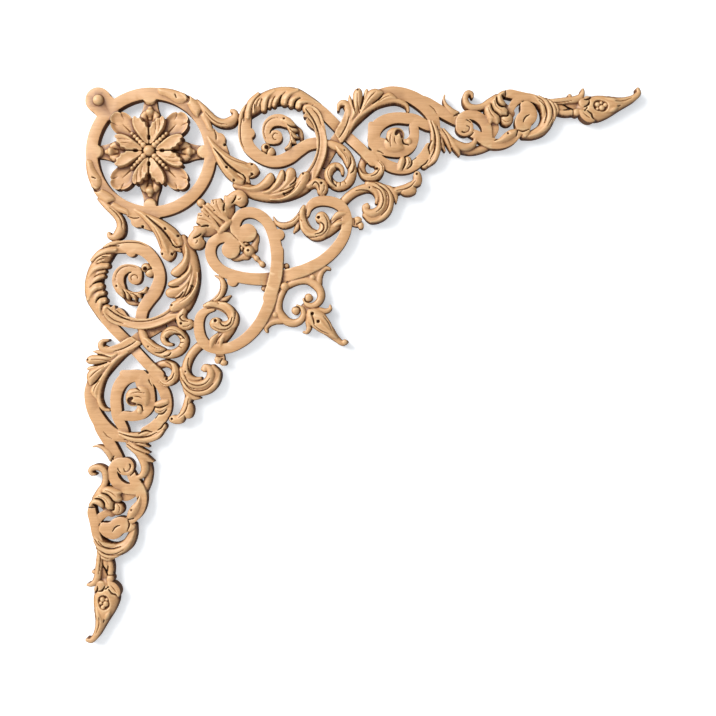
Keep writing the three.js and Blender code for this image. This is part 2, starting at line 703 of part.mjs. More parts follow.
const half = [
  ...ringLeaf,
  ...sideLeaf,
  ...crescentLeaf,
  ...scrollOne,
  ...scrollOneStems,
  ...bandLoop,
  ...smallScroll,
  ...risingLeaf,
  ...scrollTwo,
  ...outerScroll,
  ...outerLoop,
  ...podStem,
  ...pod,
  ...heart,
  ...heartLeaf,
  ...outerLeafScroll,
  ...bracket,
  ...palmetteSide,
  ...pendantSide,
];
const rosette = petalTurns.flatMap((turn) => rosetteQuarter.map((piece) => turned(piece, turn)));
const middle = [...cornerBoss, ...diagonal, ring, ...rosetteCentre, ...rosette];
const whole = carve(half).add(carve(half, OTHER_HALF)).add(carve(middle));

const beech = new THREE.MeshStandardMaterial({ color: 0xdba878, roughness: 0.62, metalness: 0 });
const applique = new THREE.Mesh(meshOf(whole), beech);
applique.name = "corner_applique";

const group = new THREE.Group();
group.add(applique);

export default group;
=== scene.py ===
# %% [markdown]
# # A carved corner applique
#
# The real thing is one flat board of light beech. A carver sawed its outline, pierced the
# gaps right through, and then cut the leaves into the face with gouges. It is glued on a
# wall or a door by its flat back.
#
# This script carves the same way. It lays out the ornament as strokes on a sheet, works out
# how high the wood stands at each point, and presses a fine grid into that shape.

# %% Start: the CAD frame and the sizes
import math
import bpy
import numpy as np
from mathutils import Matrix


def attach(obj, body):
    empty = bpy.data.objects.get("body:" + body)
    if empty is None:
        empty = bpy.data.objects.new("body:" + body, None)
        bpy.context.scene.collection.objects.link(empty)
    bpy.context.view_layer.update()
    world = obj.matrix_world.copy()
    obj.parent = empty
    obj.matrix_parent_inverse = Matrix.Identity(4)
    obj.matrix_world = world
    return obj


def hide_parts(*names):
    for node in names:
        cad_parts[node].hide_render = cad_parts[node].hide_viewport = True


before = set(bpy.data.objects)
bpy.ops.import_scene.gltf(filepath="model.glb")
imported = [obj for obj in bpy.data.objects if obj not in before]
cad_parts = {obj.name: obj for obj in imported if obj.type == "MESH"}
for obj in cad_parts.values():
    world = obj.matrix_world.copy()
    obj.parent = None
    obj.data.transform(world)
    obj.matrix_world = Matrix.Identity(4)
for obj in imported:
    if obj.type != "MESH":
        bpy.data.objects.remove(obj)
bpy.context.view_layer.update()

BOARD = 12.0  # height of the flat bands above the back, mm
BOSS = (97.5, 99.5)  # the corner boss on the sheet: the origin of the frame
CELL = 0.6  # side of a grid cell, mm

# %% [markdown]
# ## The pattern
#
# On the bench the ornament is a paper pattern glued to the board. It could be traced as
# curves and filled by Blender, but curves carry no height. So each stroke of the gouge is a
# short list of stations: x and y on the sheet, half the width there, and the height above
# the back, all in millimetres. A smooth line runs through them.
#
# The ornament is symmetrical over the diagonal of the corner, so one arm and half of the
# middle are drawn, and the rest is their mirror image, as on a carver's folded pattern.

# %% Bands, stems, knobs and discs
DOT = 0.05  # a stroke needs two stations, so those of a dot lie this close, mm


def stroke(kind, *stations):
    return kind, stations


def band(*stations):
    """A flat band; where a station names no height, it lies at the top of the board."""
    return "flat", [(*station, BOARD)[:4] for station in stations]


def stem(*stations):
    return "round", stations


def knob(x, y, radius, top):
    return "dome", [(x, y, radius, top), (x + DOT, y, radius, top)]


def disc(x, y, radius, top=BOARD):
    return "flat", [(x, y, radius, top), (x + DOT, y, radius, top)]


print("a band at the top of the board:", band((0, 0, 6), (40, 0, 6)))

# %% [markdown]
# ## Fingers, lobes and drawn leaves
#
# An acanthus leaf is cut as fingers that swell from a root and end low. Typing a width and a
# height for every station of every finger would be slow and uneven. These words shape them
# from one width and one height, and a leaf or a pillow is filled in from its drawn outline.

# %% Fingers and lobes
FINGER_SHARE = (0.0, 0.25, 0.6, 1.0)
FINGER_WIDTH = (0.5, 0.95, 1.0, 0.3)
FINGER_DROP = (1.6, 0.0, 0.3, 2.4)
LOBE_WIDTH = (0.5, 0.8, 1.0, 0.9)
LOBE_DROP = (2.3, 0.7, 0.0, 1.0)


def swollen(half, top, points, width_shares, drops):
    shares = np.linspace(0, 1, len(points))
    widths = half * np.interp(shares, FINGER_SHARE, width_shares)
    tops = top - np.interp(shares, FINGER_SHARE, drops)
    return [(x, y, w, t) for (x, y), w, t in zip(points, widths, tops)]


def finger(half, top, *points, kind="finger"):
    """A leaf's finger: it swells from its root and ends in a low point."""
    return kind, swollen(half, top, points, FINGER_WIDTH, FINGER_DROP)


def lobe(half, top, *points, kind="lap left"):
    """A round-ended lobe that laps over its neighbour, with its crest near one edge."""
    return kind, swollen(half, top, points, LOBE_WIDTH, LOBE_DROP)


sample_finger = finger(3, 14, *[(0, 0)] * 5)[1]
print("widths along a finger, mm", [round(float(s[2]), 1) for s in sample_finger])

# %% Drawn leaves
def leaf(root, tip, dish, *outline):
    """A hollowed leaf with a drawn outline; root and tip give the height: x, y, mm."""
    return "leaf", (root, tip, dish, outline)


def pillow(edge, swell, *outline):
    """A rounded lobe with a drawn outline: the height of its edge, and its swell above that."""
    return "leaf", ((*outline[0], edge), (*outline[len(outline) // 2], edge), -swell, outline)


print("a pillow is a leaf with its hollow turned up:", pillow(12, 2, (0, 0), (9, 4), (5, 8)))

# %% Grooves and eyes, cut into what was laid before them
GROOVE_WIDTH = (0.6, 1.25, 1.25, 0.5)
GROOVE_DEPTH = 1.4  # sanding fills a groove, so it is cut this much deeper


def groove(half, depth, *points):
    shares = np.linspace(0, 1, len(points))
    widths = half * np.interp(shares, (0, 0.3, 0.7, 1), GROOVE_WIDTH)
    return "groove", [(x, y, w, GROOVE_DEPTH * depth) for (x, y), w in zip(points, widths)]


def eye(x, y, radius, depth=3.0):
    return "drill", [(x, y, radius, depth), (x + DOT, y, radius, depth)]


sample_cut = groove(1, 1, *[(0, 0)] * 5)[1]
print("widths along a groove, mm", [round(float(s[2]), 2) for s in sample_cut])

# %% [markdown]
# ## Ring and first leaves
#
# A leaf wraps the ring, and leaves it as a tendril with a curled end. Beside it a split leaf
# swings over from the ring to the first scroll, and a crescent of fingers lies under that.
# Sculpting them would follow the photo too, but couldn't be repeated or mirrored exactly.
# Pillows give each lobe its own outline, and a groove parts it from the next.

# %% Ring leaf and its tendril
ring_leaf = [
    pillow(
        *(12.4, 1.8, (158, 88.4), (168, 88.4), (176, 90.2), (182, 92.8), (186, 96), (187.4, 99)),
        *((185.6, 102), (181, 103.6), (176, 102.6), (171, 99.4), (165, 96), (159, 93.6)),
    ),
    pillow(
        *(12.6, 2.2, (178, 92), (186, 94), (193, 98), (199, 103.6), (202.4, 108.6), (200.8, 113)),
        *((197.6, 117), (193.6, 114.6), (190, 109.6), (187.6, 105), (184, 101)),
    ),
    pillow(
        *(12.4, 1.4, (200, 104), (204.6, 109), (208, 116), (211, 124), (212.6, 131), (208.4, 130)),
        *((204.4, 123), (201, 117), (200, 111)),
    ),
    groove(1.1, 2.6, (175.4, 94.6), (176.6, 98)),
    groove(1.5, 3.8, (186.4, 94.2), (188.8, 98.2), (187.6, 101.6), (183.6, 103.6)),
    groove(1.3, 3.4, (203, 106.6), (202.2, 111.6), (199, 115.6)),
    stem(
        *((197, 101.4, 2.4, 12.6), (204, 108.8, 3.4, 14.4), (210, 115.4, 3.8, 14.4)),
        *((216, 120.6, 4.2, 13.8), (224, 122.8, 4.6, 13.4), (231, 120.8, 5.4, 13.2)),
        *((235.2, 115.6, 3.8, 12.8), (234.2, 111.6, 2.8, 12.4), (231.4, 110.6, 1.9, 12)),
    ),
    groove(0.7, 1.4, (206, 112.4), (212, 119), (219, 123.4), (227, 124.6)),
    disc(219, 139, 6.3, 11.8),
    band((212, 132, 4, 11.8), (219, 142, 5.4, 11.8), (223.5, 149, 4, 11.6), (228, 155, 1.5, 11.4)),
    groove(0.6, 1.6, (214.4, 130), (216.2, 136), (215.4, 143)),
    eye(224.6, 144.6, 1.4, 5),
]
print("ring leaf:", len(ring_leaf), "strokes")

# %% Side leaf
side_leaf = [
    stem(
        *((207, 134, 2, 11.8), (213, 146, 5, 12), (223, 160, 7.5, 12), (234, 172, 9, 12)),
        (243, 179, 6, 11.6),
    ),
    pillow(
        *(12.2, 1.6, (213, 145.6), (221, 151), (229, 156.8), (238, 161), (246, 162.6)),
        *((252, 162.6), (256.8, 165.6), (259, 170.6), (256.6, 175), (250.6, 177.4), (246, 175.4)),
        *((239, 172), (231, 167), (224, 160), (218, 153)),
    ),
    pillow(
        *(12.2, 2.2, (210.4, 142), (215.6, 149.6), (221, 159), (227.6, 168), (235, 174.6)),
        *((241, 178), (244.4, 181.6), (242, 184.8), (236, 183.6), (229, 178.8), (222.4, 170.4)),
        *((217.2, 161.6), (213.2, 152.6)),
    ),
    stroke(
        *("ridge", (208, 137, 1.6, 12.6), (212.6, 144.6, 2.6, 14), (222, 154.6, 3.8, 15.2)),
        *((233, 162.4, 5, 16), (244, 167.6, 6, 15.8), (252, 170, 4.6, 14.2), (257, 170.6, 2.4, 12)),
    ),
    stroke(
        *("ridge", (211, 142.6, 1.6, 12.6), (215.8, 152, 2.6, 14.4), (221.6, 162.4, 3.6, 15.6)),
        *((228.4, 171.6, 4.4, 15.8), (235, 178.4, 4.4, 15), (240, 182.4, 3, 13.2)),
    ),
    finger(3, 13.6, (236, 171), (241, 173.4), (246, 177.6), (249, 182), kind="spoon"),
    finger(2.4, 13.4, (245, 165), (252, 165.4), (256.6, 167.4)),
    groove(0.9, 2.6, (214, 148.6), (220.6, 156), (227.6, 164.2), (236, 170.8), (243.6, 175.4)),
    groove(0.9, 2.6, (243, 174.6), (245.4, 179), (243.8, 183.6)),
    groove(0.6, 1, (226, 156.4), (236, 161.4), (247, 164.6)),
    groove(0.9, 2.4, (249.6, 176.6), (253.6, 174.4)),
    groove(0.8, 1.6, (226, 166.6), (228, 169)),
    eye(227, 167.6, 1.5),
    eye(234, 180.4, 1.5),
    eye(252, 164.4, 1.2),
    eye(252, 174, 1.3),
]
print("side leaf:", len(side_leaf), "strokes")

# %% Crescent of fingers
crescent = [
    stem(
        *((236, 184.6, 4, 11.4), (248, 189.6, 6.6, 12), (262, 193.4, 7.2, 12.4)),
        *((278, 194.4, 7.3, 12.6), (293, 190.6, 7.6, 12.6), (305, 184, 7.5, 12.6)),
        *((312, 177, 6, 12.4), (317, 166, 5, 12)),
    ),
    band((266, 186, 4, 9.6), (278, 184, 6, 9.6), (289, 181, 6, 9.6)),
    pillow(
        *(12.4, 2.6, (242, 187), (251, 186.6), (258, 184), (263, 179.6), (267.4, 174.4)),
        *((271, 172.6), (274, 174.6), (274.8, 179), (272, 184), (266, 188.6), (257, 191.4)),
        (248, 190.6),
    ),
    pillow(
        *(12.6, 2.6, (262, 192.6), (269, 189), (274, 183), (277.4, 176), (280.4, 170.6)),
        *((283.4, 169.8), (286, 173), (284.6, 179), (281, 185), (275, 190.6), (268, 194)),
    ),
    pillow(
        *(12.6, 2.2, (270, 193.4), (278, 188), (283.4, 181.6), (285.4, 173), (287.6, 168.8)),
        *((291.6, 167.6), (295.2, 170), (295.6, 175.4), (292.4, 182), (287, 187.6), (279, 193)),
    ),
    lobe(2.6, 14.8, (276, 191.6), (286, 187.6), (292.6, 182.6), (295.4, 178.6), kind="lap"),
    lobe(2.4, 14.6, (268, 195.6), (280, 193), (288, 190.4), (291.6, 188.6), kind="lap"),
    pillow(
        *(12.6, 2.8, (270, 199.4), (282, 197.6), (290, 192.6), (295, 185.6), (298, 178.4)),
        *((301, 173.4), (305, 171.6), (309, 173), (309.4, 179), (306, 186), (300, 192.6)),
        *((291, 197.6), (280, 200.4)),
    ),
    groove(0.8, 2.6, (274.6, 183), (275.4, 178.4), (273.2, 173.6)),
    groove(0.7, 2.4, (284.8, 181), (285.2, 175), (283.8, 169.6)),
    groove(0.9, 3, (284, 194), (290, 191.4), (294.6, 187.6)),
    groove(0.9, 3, (290, 185.6), (295, 181.6), (297, 175.8)),
    groove(0.6, 1.2, (284, 196.4), (294, 190.6), (301, 181.6)),
    groove(0.9, 2.8, (308.4, 183.4), (310.8, 178), (311.4, 172.4)),
    eye(284, 194, 1.4),
    eye(303.2, 174, 1.2),
    pillow(
        *(12, 2.2, (305, 186), (309.4, 181), (315, 178.2), (320, 178.6), (325, 180.6)),
        *((327.8, 185), (327.8, 190), (325, 194.4), (321, 195.6), (317.4, 193), (316.6, 189)),
        *((314.4, 187.4), (309, 188.6)),
    ),
    groove(0.7, 2, (312.4, 185.4), (315.4, 182.2), (318.6, 184.6), (319.4, 190)),
    groove(0.5, 1.4, (324, 184), (324.4, 189), (322, 193.6)),
    eye(321.4, 183.2, 1.4, 3.4),
]
print("crescent:", len(crescent), "strokes")

# %% [markdown]
# ## First scroll
#
# A flat band turns round a smaller spiral. Acanthus fingers hang from its upper edge like a
# comb, each a round lobe with a sharp valley beside it, where the gouge went in deep. The
# lobes could be one form in an array, but the carver's get smaller and turn as they go
# round, so each is placed by its own line.

# %% First scroll with its spiral leaf
scroll_one = [
    band(
        *((245.4, 116, 5.5), (244.8, 122, 6), (244.5, 133, 6.5), (247, 144, 6.5), (254, 152.5, 6)),
        *((263, 158.5, 5.6), (272, 161.3, 5.6), (281, 160.5, 6), (290, 156.5, 6.4), (299, 150, 6)),
        *((308, 144.5, 5.6), (319, 142.2, 5.5)),
    ),
    disc(249.8, 133, 5),
    groove(0.5, 1.4, (244.4, 113), (240.9, 124), (240.4, 133), (241.4, 142), (244.6, 149.4)),
    band(
        *((273.6, 141, 3, 12.2), (268.6, 139, 4, 12.2), (266.4, 132.6, 4.2, 12.4)),
        *((267.8, 125.4, 5, 12.6), (272.6, 121, 5.6, 12.8), (280, 120, 5.8, 13)),
        (287, 122.4, 5.2, 13.2),
    ),
    disc(275.6, 136.8, 6.8, 12.4),
    groove(0.8, 2.4, (270, 133.4), (271.2, 130.6), (275, 128.8), (280.6, 130.4), (283, 135)),
    groove(0.5, 1.2, (278.6, 134), (275, 133.2), (272.8, 136), (274.2, 139.4), (277.6, 139.4)),
    groove(0.5, 1, (266, 139), (264, 132.6), (265.4, 125), (270.6, 119.4), (278, 117.4)),
    pillow(
        *(12.8, 1.8, (280, 119.4), (287, 117.4), (292, 120), (295.6, 125.4), (292.4, 126.4)),
        *((289, 128), (284, 124.6)),
    ),
    pillow(
        *(12.6, 2.6, (286, 125), (292.4, 126.6), (297.6, 130.6), (294.6, 132.8), (298.8, 137.6)),
        *((294.8, 139), (296.6, 143.2), (291.8, 144), (290.8, 147.8), (286.6, 149.6)),
        *((284.4, 148.6), (288, 144.6), (290, 139), (289.2, 133)),
    ),
    stem((294, 126, 2.6, 8), (299.4, 130.4, 3, 8), (301, 136, 2.6, 8), (301.6, 141, 1.8, 8)),
    groove(0.7, 2.4, (297, 128), (292, 127.4), (287.6, 125)),
    groove(0.6, 1.8, (294.8, 133), (292, 131.4), (289.6, 128.6)),
    groove(0.6, 1.8, (294.8, 139.2), (292.6, 136.8), (291.4, 133)),
    groove(0.6, 1.6, (291.8, 144.2), (291.8, 140.6)),
    band((265, 148, 3, 11), (269, 150, 4, 11)),
    knob(265.6, 147.6, 4.8, 12.8),
    knob(270.6, 151.6, 4.8, 12.8),
    groove(0.7, 2.2, (272.4, 145.4), (267.8, 149.6), (266.4, 154.4)),
    eye(266.6, 147, 2.2, 5.4),
    eye(284, 118.8, 1.2, 2.4),
]
print("first scroll:", len(scroll_one), "strokes")

# %% Comb of lobes on the first scroll
comb = [
    stem(
        *((321, 110, 4.6, 12.2), (313, 104, 6, 12.6), (305.6, 100, 7, 13), (296, 95.4, 8, 13.2)),
        *((284, 94, 8.4, 13.2), (272, 96, 8, 13), (262, 100.6, 7.8, 12.8), (253.6, 107, 7, 12.4)),
        *((247, 114.4, 4.6, 11.8), (243.6, 121, 2.6, 11.2)),
    ),
    band(
        *((246, 118, 3, 9.6), (250, 110, 4, 9.6), (257, 105, 4.4, 9.6), (265, 103.4, 4.4, 9.6)),
        *((274, 100.6, 4.2, 9.6), (282, 99.6, 4.2, 9.6), (291, 101.4, 4.2, 9.6)),
        (299, 104, 4.2, 9.6),
    ),
    finger(2.2, 13.6, (250, 101), (243.4, 110), (240.4, 118), (239.4, 125.4)),
    lobe(3.6, 15, (258, 93.6), (251.4, 101), (247.8, 109), (247, 116.6)),
    lobe(2.1, 14.2, (262, 95), (256.6, 100), (253.8, 106), (253.4, 111.6)),
    lobe(1.9, 13.8, (264, 97.6), (259.6, 101), (257.6, 105.6)),
    lobe(3.5, 15.2, (274, 90.8), (267, 96), (264, 102.4), (263.4, 108.4)),
    lobe(2.2, 14, (276, 95), (270.8, 100.4), (268.8, 106)),
    lobe(2.7, 14.8, (285, 91), (278.4, 96.4), (274.8, 101.4), (273.8, 104.6)),
    lobe(3.9, 15.4, (297, 90), (289, 93.4), (284.8, 98.2), (284, 102)),
    lobe(3.3, 14.8, (304, 96), (296, 97), (291.6, 100.4), (290.4, 104.4)),
    lobe(3.5, 15, (313, 101.6), (304.6, 100.8), (299.4, 102.2), (298.2, 106)),
    lobe(2.3, 14, (315, 105), (308.6, 105.2), (305, 107.4), (304.4, 110.4)),
    groove(0.8, 2.2, (243.6, 112), (243.8, 121)),
    groove(0.8, 1.8, (254.6, 104.6), (255, 112.6)),
    groove(0.8, 1.8, (260.2, 104.6), (260.8, 111)),
    groove(0.8, 2.4, (282, 95), (279.8, 99.6), (279.4, 105)),
    groove(0.8, 2.4, (300, 98), (295.6, 101.6), (294.4, 107)),
    groove(0.8, 2.4, (313.4, 104.8), (308, 108.8)),
    eye(288.6, 106, 0.9, 2),
]
print("comb:", len(comb), "strokes")

# %% Crossing stems
stems_one = [
    band(
        *((306, 101, 5, 12), (315, 106.6, 5.4), (323, 112.4, 5.3), (334.3, 123.2, 5.2)),
        *((339, 128, 5.2, 10.4), (344, 132.8, 5.2, 8.6), (350, 138, 5, 9.8)),
        *((356.8, 144.4, 5, 11.6), (366, 153, 5.2), (373, 160.4, 5.4, 12.2)),
    ),
    leaf(
        *((310, 116, 14), (321, 148, 11.6), 0.9, (304.4, 108.4), (309, 105.8), (314, 107.2)),
        *((319.4, 112), (323, 120), (325.6, 130), (326.6, 146), (317.6, 146), (315.4, 131)),
        *((309.4, 126.2), (305.8, 121.4), (307, 118), (303.2, 116.8), (305.6, 112.6)),
    ),
    stroke(
        *("spoon", (313, 117, 3, 12.4), (317, 125, 4, 13), (320.6, 134, 5, 13.8)),
        *((322, 143, 4.9, 13.8), (321, 153, 4.9, 13.8), (317.5, 163, 5, 13.6)),
        *((312.6, 172, 5.4, 13.2), (305.6, 180.6, 6, 12.6)),
    ),
    groove(0.8, 2, (306, 109.6), (311, 116), (315.6, 124), (318, 132)),
    groove(0.6, 1.4, (307.4, 117.6), (311.4, 122), (315, 129)),
    groove(0.6, 1.4, (312, 108.6), (318, 116), (321.6, 126)),
    groove(0.6, 1.2, (312.6, 119), (318, 130), (319.6, 141), (318.4, 153), (314.6, 164), (309, 173)),
    stem(
        *((372, 158.4, 5, 12.2), (378.4, 164, 5.2, 12.8), (380, 170, 4.6, 13)),
        *((376.6, 175.6, 4.6, 12.8), (370, 177.6, 4.4, 12), (363.6, 174, 4.3, 10.6)),
        *((361.4, 167, 4.2, 9), (364, 158.4, 4, 8)),
    ),
    stem(
        *((379.6, 162.6, 1.8, 13.4), (382.2, 168, 2.4, 14.2), (380, 174, 2.2, 14.2)),
        (374.4, 177.6, 1.8, 13.6),
    ),
    pillow(
        *(12.4, 2, (359, 167.6), (362, 172.6), (367, 174), (372.6, 172.6), (376, 169.6)),
        *((380, 168), (382.6, 171), (380, 177), (374, 180.6), (367, 180.4), (361.6, 176.6)),
    ),
    groove(0.7, 1.8, (371, 176.4), (376.4, 174), (379.8, 169)),
    groove(0.6, 1.4, (378, 160.6), (382.4, 165.6), (383, 171)),
    eye(377, 168.6, 1.4, 3.6),
]
print("crossing stems:", len(stems_one), "strokes")

# %% Small scroll below the crossing
small_scroll = [
    stem(
        *((328, 142.6, 3.4, 12), (334, 145, 4.4, 12.6), (340.6, 148, 4.6, 13.2)),
        *((347, 154.6, 4.8, 13.6), (351, 163, 4.8, 13.8), (352, 172, 4.8, 13.8)),
        *((349.6, 180, 4.6, 13.6), (344, 185, 4.4, 13.4), (337.4, 186, 4.4, 13.2)),
        *((331.4, 182.4, 4.4, 12), (328.5, 176.6, 4.2, 11.8), (329.2, 170.2, 4.2, 12)),
        *((333, 166.2, 3.8, 12.8), (338.4, 165.8, 3, 14), (342, 169, 2.4, 13.8)),
        (342.6, 173.4, 1.6, 13.4),
    ),
    pillow(
        *(12.6, 2.8, (329.6, 165.4), (335, 163.2), (337.4, 167), (333.6, 172), (331.8, 177)),
        *((333, 182.6), (336.4, 187.6), (331.6, 186.6), (327, 182.4), (324.6, 177), (325.2, 170.4)),
    ),
    pillow(
        *(13, 2.2, (336, 146), (341, 149), (345, 152.4), (349, 157.6), (350, 163), (347.4, 167.4)),
        *((344.6, 163.4), (341.6, 157.4), (337.4, 152.4)),
    ),
    pillow(
        *(12.8, 2, (349.6, 155.6), (353.4, 160), (355.6, 166), (354.6, 172), (350.6, 174.4)),
        *((348.6, 170.6), (350.6, 165.4), (350.8, 160)),
    ),
    groove(0.8, 2.4, (335.4, 168), (338.6, 169.2), (340.4, 172.6)),
    groove(0.8, 2.4, (335.2, 172.4), (332.2, 176.4), (332.8, 182), (336.4, 186.6)),
    groove(0.5, 1.2, (330, 167), (328, 172), (329, 178), (332.4, 183)),
    groove(0.7, 2.2, (350.4, 157), (350.8, 163), (348.2, 168.6)),
    groove(0.7, 2.2, (354.4, 166), (353.4, 171), (350.4, 173.6)),
    groove(0.5, 1.2, (341, 151), (345.6, 156.6), (347.4, 163)),
    eye(344.6, 150.2, 1, 2.2),
    groove(0.7, 2.2, (336.8, 182.4), (336.2, 186.4)),
    groove(0.6, 2, (340.4, 182), (340.4, 186)),
    groove(0.6, 2, (344, 180.6), (346, 184)),
    band(
        *((339.4, 136, 5.6, 11.4), (334, 143, 5.8, 9.6), (329.4, 151, 5.6, 8.4), (326, 158, 5, 8)),
        (325, 164, 3.6, 8),
    ),
    band((317, 168, 4, 9), (325, 176, 4, 9), (331, 183, 4, 9)),
]
print("small scroll:", len(small_scroll), "strokes")

# %% [markdown]
# ## Second scroll
#
# A leaf rises over the crossing of two stems and fans out along the top band. Inside, a broad
# flat spiral ends in a small curled leaf, and fine fingers hug the right side. Bands that
# cross could be separate solids, one let into the other. Heights alone tell which one
# passes over, because the piece is cut from one board and never undercut.

# %% Leaf that rises over the crossing
rising_leaf = [
    stem(
        *((346.6, 122, 3.4, 12.8), (348.6, 113, 4, 13.4), (347.4, 106, 4, 13.6)),
        *((343, 102.6, 3.2, 13.6), (339.2, 104.6, 2.2, 13), (338, 109.6, 1.3, 12.2)),
    ),
    eye(343.6, 106.4, 1.2, 2.6),
    leaf(
        *((345, 112, 13), (338, 138, 12.6), 0.3, (347.6, 104), (345.4, 110), (341.6, 120.6)),
        *((335.2, 132.6), (337.6, 137.4), (341.2, 142.6), (345.8, 137), (349.2, 129.4)),
        *((352.4, 122), (352, 110)),
    ),
    groove(0.6, 1.6, (349.4, 116), (346.6, 125), (341.6, 134.4), (338.6, 138.4)),
    stem(
        *((346, 134, 3, 11.6), (350, 126, 4.4, 12.2), (355, 117.6, 6.6, 12.6)),
        *((362, 109.6, 7.6, 13), (370, 104, 7, 13), (379, 100.8, 5, 12.8)),
    ),
    pillow(
        *(12, 1.6, (351, 118), (349.4, 107), (348, 100), (349.4, 94.6), (351.6, 98.6), (354, 104)),
        (354.6, 112),
    ),
    pillow(
        *(12.6, 2.6, (351, 120), (352, 110), (352.6, 101), (353, 94), (355.6, 89.4), (359, 88.2)),
        *((362, 91), (362.4, 97), (361, 104), (358.6, 111), (355.4, 117)),
    ),
    pillow(
        *(12.4, 1.8, (357, 116), (361, 107), (362.6, 98), (364.4, 91.6), (366.6, 88.8)),
        *((368.6, 91), (367, 98), (364.4, 105), (361, 112)),
    ),
    pillow(
        *(12.6, 2.8, (357, 118), (361.6, 108.6), (365, 99.6), (367.4, 93), (371, 89.6)),
        *((376, 88.8), (381, 90.6), (383.6, 92.8), (380.4, 97), (376, 100.4), (370, 105.4)),
        (363, 112.6),
    ),
    pillow(
        *(12.4, 2.2, (364, 112), (372, 104), (379.4, 98.2), (384, 94.4), (389.4, 92.6)),
        *((394.4, 95.4), (397.4, 99.6), (391, 101.4), (384, 103.6), (375, 107)),
    ),
    stem(
        *((350, 129, 1.6, 12.6), (356, 119.6, 2, 13.4), (364, 112.4, 2.2, 13.8)),
        *((375, 105.6, 2.6, 13.8), (385, 101.8, 2.8, 13.8), (395, 100.8, 2.4, 13.6)),
        *((402, 102.4, 2.4, 13.6), (407, 106, 2, 13), (408.4, 110.8, 1.4, 12.2)),
    ),
    groove(0.8, 2.4, (355.4, 113), (353.4, 105), (352.2, 97)),
    groove(1.0, 3, (360.4, 109), (363, 100), (364, 92.4)),
    groove(0.6, 1.2, (360, 114), (357.6, 103), (357.4, 94)),
    groove(0.8, 2.6, (372.6, 104), (379.6, 98.6), (384, 93)),
    groove(0.6, 1.2, (364, 107), (370, 98), (376, 92)),
    groove(0.6, 1.2, (378, 102.4), (385, 97.6), (391, 96)),
    eye(357.7, 90, 1.2, 2.6),
]
print("rising leaf:", len(rising_leaf), "strokes")

# %% Top band and its horn
top_band = [
    band(
        *((374, 93.6, 2), (380, 92.4, 3.6), (390, 91.2, 5), (400, 92.8, 6), (410, 96, 6.4)),
        *((419, 101, 6.8), (427, 108, 6.6), (432.4, 116, 6), (435, 125, 5.2), (436, 134, 4.6)),
    ),
    band(
        *((418, 98, 4), (426, 102, 5.4), (434, 107, 5.8), (444, 113, 5.4), (451, 117.2, 5)),
        (456, 120, 4.6, 11),
    ),
    groove(0.5, 1.2, (437, 114), (434, 109), (429, 105)),
    stem(
        *((444.7, 95, 0.9, 11.6), (444, 99.5, 1.3, 12.2), (445.8, 104.4, 1.8, 12.8)),
        *((449.6, 108.8, 2.6, 13.2), (453.4, 111.8, 3, 13.2), (458, 113, 2, 12.6)),
    ),
]
print("top band:", len(top_band), "strokes")

